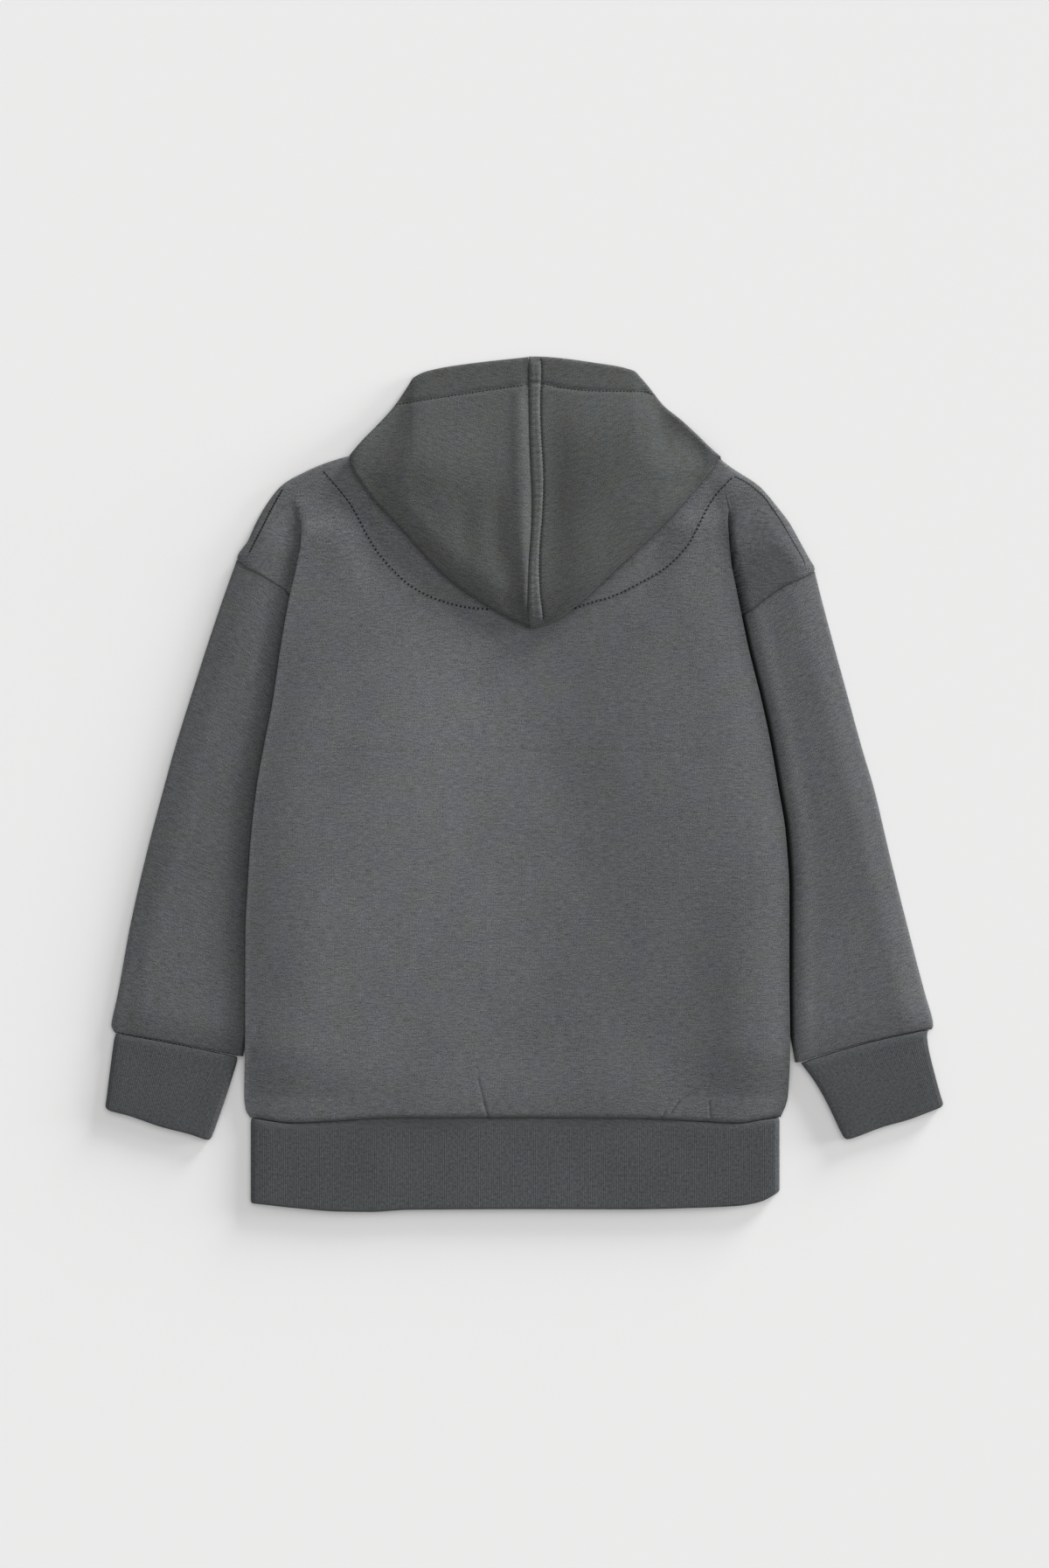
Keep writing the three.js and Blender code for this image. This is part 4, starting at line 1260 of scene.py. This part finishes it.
def hood_painted_light(half, x, y):
    """The hood's painted light: the welt is painted lighter, and painted shade darkens the cloth at the seam,
    in the hem and along the right lower fold, with broad patches of painted light and shade.
    """
    across = (x - HOOD_SEAM.x(y)) / (HOOD_STITCH.x(y) - HOOD_SEAM.x(y))
    # Painted light on the welt.
    on_welt = lerp(*WELT_GLOW, across) if half.sign > 0 and 0.12 < across < 0.92 else 0
    # Painted shade beside the seam.
    at_seam = -BESIDE_SEAM_SHADE * math.exp(-(((across + 0.18) / 0.4) ** 2)) if half.sign < 0 else 0
    # Patches of painted light and shade.
    patches = broad_sum(HOOD_PAINTED_PATCHES, x, y)
    # Painted shade along the right lower fold.
    low_edge = -LOW_EDGE_SHADE * math.exp(-((y - half.low.y(x)) / 7)) if half.sign > 0 and y < 200 else 0
    # Painted shade in the hem.
    in_hem = RIM_HEM_SHADE * ease((y - half.stitch.y(x)) / 3)
    return 1 + on_welt + at_seam + patches + low_edge - in_hem


hood_fleece = fleece("hood fleece", HOOD_COLOUR)
for half in (HOOD_LEFT, HOOD_RIGHT):
    beside_seam = half.seam + half.sign * 10
    xs = steps(half.seam, beside_seam, 0.45) + spread(88, beside_seam, half.last)
    columns = [hood_column(half, x) for x in xs]
    crown = cloth_mesh(f"hood_{half.name}_crown", columns, tone_and_painted_light=partial(hood_painted_light, half), turned=True)
    give_wall(crown)
    flap_xs = spread(40, NECK.middle + half.sign * 3, half.sign * (abs(half.last) - 6))
    flap = cloth_mesh(f"hood_{half.name}_front_edge", [front_flap_column(half, x) for x in flap_xs])
    give_wall(flap)
    for piece in (crown, flap):
        piece.data.materials.append(hood_fleece)
        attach(piece, "root")
    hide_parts(f"hood_{half.name}")

# Machine stitching
# Near-black polyester thread, its darkness partly painted shade in the stitch holes: a lockstitch round the
# neckline over the inner tape, along the hood's hem, along its centre seam and along the shoulders. Each
# stitch dips into the cloth at both ends. Three grey tacks hold the end of the right shoulder's seam.
depsgraph = bpy.context.evaluated_depsgraph_get()


def cloth_top(x, y, onto):
    """The height in mm of the highest of these pieces at a plan place."""
    best = 0
    for piece in onto:
        hit, place, _, _ = piece.evaluated_get(depsgraph).ray_cast((x * MM, y * MM, 0.1), (0, 0, -1))
        if hit:
            best = max(best, place.z / MM)
    return best


def along_line(points, at):
    """The plan place at a length along a line."""
    for a, b in zip(points, points[1:]):
        step = math.dist(a, b)
        if at <= step:
            return lerp(a[0], b[0], at / step), lerp(a[1], b[1], at / step)
        at -= step
    return points[-1]


def curve_value(s, a, b, c, d):
    square = (2 * a - 5 * b + 4 * c - d) * s**2
    cube = (3 * b - a - 3 * c + d) * s**3
    return 0.5 * (2 * b + (c - a) * s + square + cube)


CURVE_STEPS = 8


def smooth_line(points):
    """A Catmull-Rom curve through plan places."""
    ends = [points[0]] + list(points) + [points[-1]]
    line = []
    for p0, p1, p2, p3 in zip(ends, ends[1:], ends[2:], ends[3:]):
        for k in range(CURVE_STEPS):
            line.append(tuple(curve_value(k / CURVE_STEPS, *places) for places in zip(p0, p1, p2, p3)))
    return line + [points[-1]]


FINE_RUN = 25
FINE_SHARE = 0.95
FINE_WIDTH = 0.62


def stitch_line(name, points, pitch, length, thickness, finish, onto, fine_above=None):
    """A row of stitches on the cloth. Above fine_above they run into one thin line."""
    line = smooth_line(points)
    total = sum(math.dist(a, b) for a, b in zip(line, line[1:]))
    row = bmesh.new()
    for k in range(int(total / pitch)):
        a = along_line(line, k * pitch)
        fine = 0 if fine_above is None else ease((a[1] - fine_above) / FINE_RUN)
        b = along_line(line, k * pitch + lerp(length, FINE_SHARE * pitch, fine))
        start = Vector((*a, cloth_top(*a, onto))) * MM
        stop = Vector((*b, cloth_top(*b, onto))) * MM
        if min(start.z, stop.z) <= 0:
            continue
        turned = (stop - start).to_track_quat("X", "Z").to_matrix().to_4x4()
        slim = lerp(1, FINE_WIDTH, fine) * thickness * MM / 2
        sized = Matrix.Diagonal(((stop - start).length / 2, slim, slim, 1))
        placed = Matrix.Translation((start + stop) / 2) @ turned @ sized
        bmesh.ops.create_uvsphere(row, u_segments=8, v_segments=5, radius=1, matrix=placed)
    for face in row.faces:
        face.smooth = True
    mesh = bpy.data.meshes.new(name)
    row.to_mesh(mesh)
    row.free()
    stitches = bpy.data.objects.new(name, mesh)
    mesh.materials.append(finish)
    scene.collection.objects.link(stitches)
    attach(stitches, "root")


# The thread's near-black colour is partly the thread and partly painted shade in the stitch holes.
dark_thread_and_hole_shade, thread_shader = new_finish("dark thread", roughness=0.8)
thread_shader.inputs["Base Color"].default_value = (0.016, 0.017, 0.017, 1)
crowns = [bpy.data.objects["hood_left_crown"], bpy.data.objects["hood_right_crown"]]
NECK_LEFT = [
    (-20.8, 99.5), (-34.1, 100.8), (-46.4, 103.9), (-57.6, 108.5), (-67.8, 115.1), (-79.5, 126.8),
    (-88.2, 139), (-98.4, 158), (-109.6, 172.4), (-116.3, 180.1),
]
NECK_RIGHT = [
    (28.6, 99.9), (36.7, 102.8), (51.4, 107.3), (66, 114.5), (80.7, 123.3), (92.4, 135.1), (98.3, 145.3),
    (104.2, 157), (110, 165.9), (119.6, 175.8),
]
for name, path, fine_above in (("left", NECK_LEFT, 140), ("right", NECK_RIGHT, 150)):
    stitch_line(f"neck_{name}_stitches", path, 2.5, 1.3, 1.35, dark_thread_and_hole_shade, [back], fine_above)
for half in (HOOD_LEFT, HOOD_RIGHT):
    first, last = (-73.5, 1.5) if half.sign < 0 else (10.5, 80)
    path = [(x, half.stitch.y(x)) for x in spread(9, first, last)]
    stitch_line(f"rim_{half.name}_stitches", path, 2.0, 1.3, 0.7, dark_thread_and_hole_shade, crowns)
path = [(HOOD_STITCH.x(y), y) for y in spread(14, 243, 93)]
stitch_line("hood_seam_stitches", path, 2.0, 1.6, 0.9, dark_thread_and_hole_shade, crowns)
SHOULDER_LEFT = [
    (-138, 168.2), (-141.5, 162.2), (-145.5, 154.7), (-149.5, 146.5), (-153.7, 138.3), (-157, 131.5),
]
SHOULDER_RIGHT = [
    (119.8, 175.5), (127, 172), (134, 166.5), (138.1, 162.2), (146.3, 150.2), (153.1, 138.3), (158.6, 128.8),
    (160.6, 123.3),
]
for name, path, thickness in (("left", SHOULDER_LEFT, 1.1), ("right", SHOULDER_RIGHT, 0.55)):
    stitch_line(f"shoulder_{name}_stitches", path, 1.7, 1.8, thickness, dark_thread_and_hole_shade, [back])

grey_thread, grey_shader = new_finish("grey thread", roughness=0.8)
grey_shader.inputs["Base Color"].default_value = (0.17, 0.175, 0.175, 1)
TACKS = [
    [(160.2, 124.4), (162.4, 121.4)],
    [(161.2, 125), (163.6, 121.8)],
    [(160.6, 121.8), (163.8, 120.8)],
]
under_tacks = [back, bpy.data.objects["sleeve_right_cloth"]]
for k, tack in enumerate(TACKS):
    stitch_line(f"shoulder_tack_{k}", tack, 1.3, 1.2, 0.5, grey_thread, under_tacks)
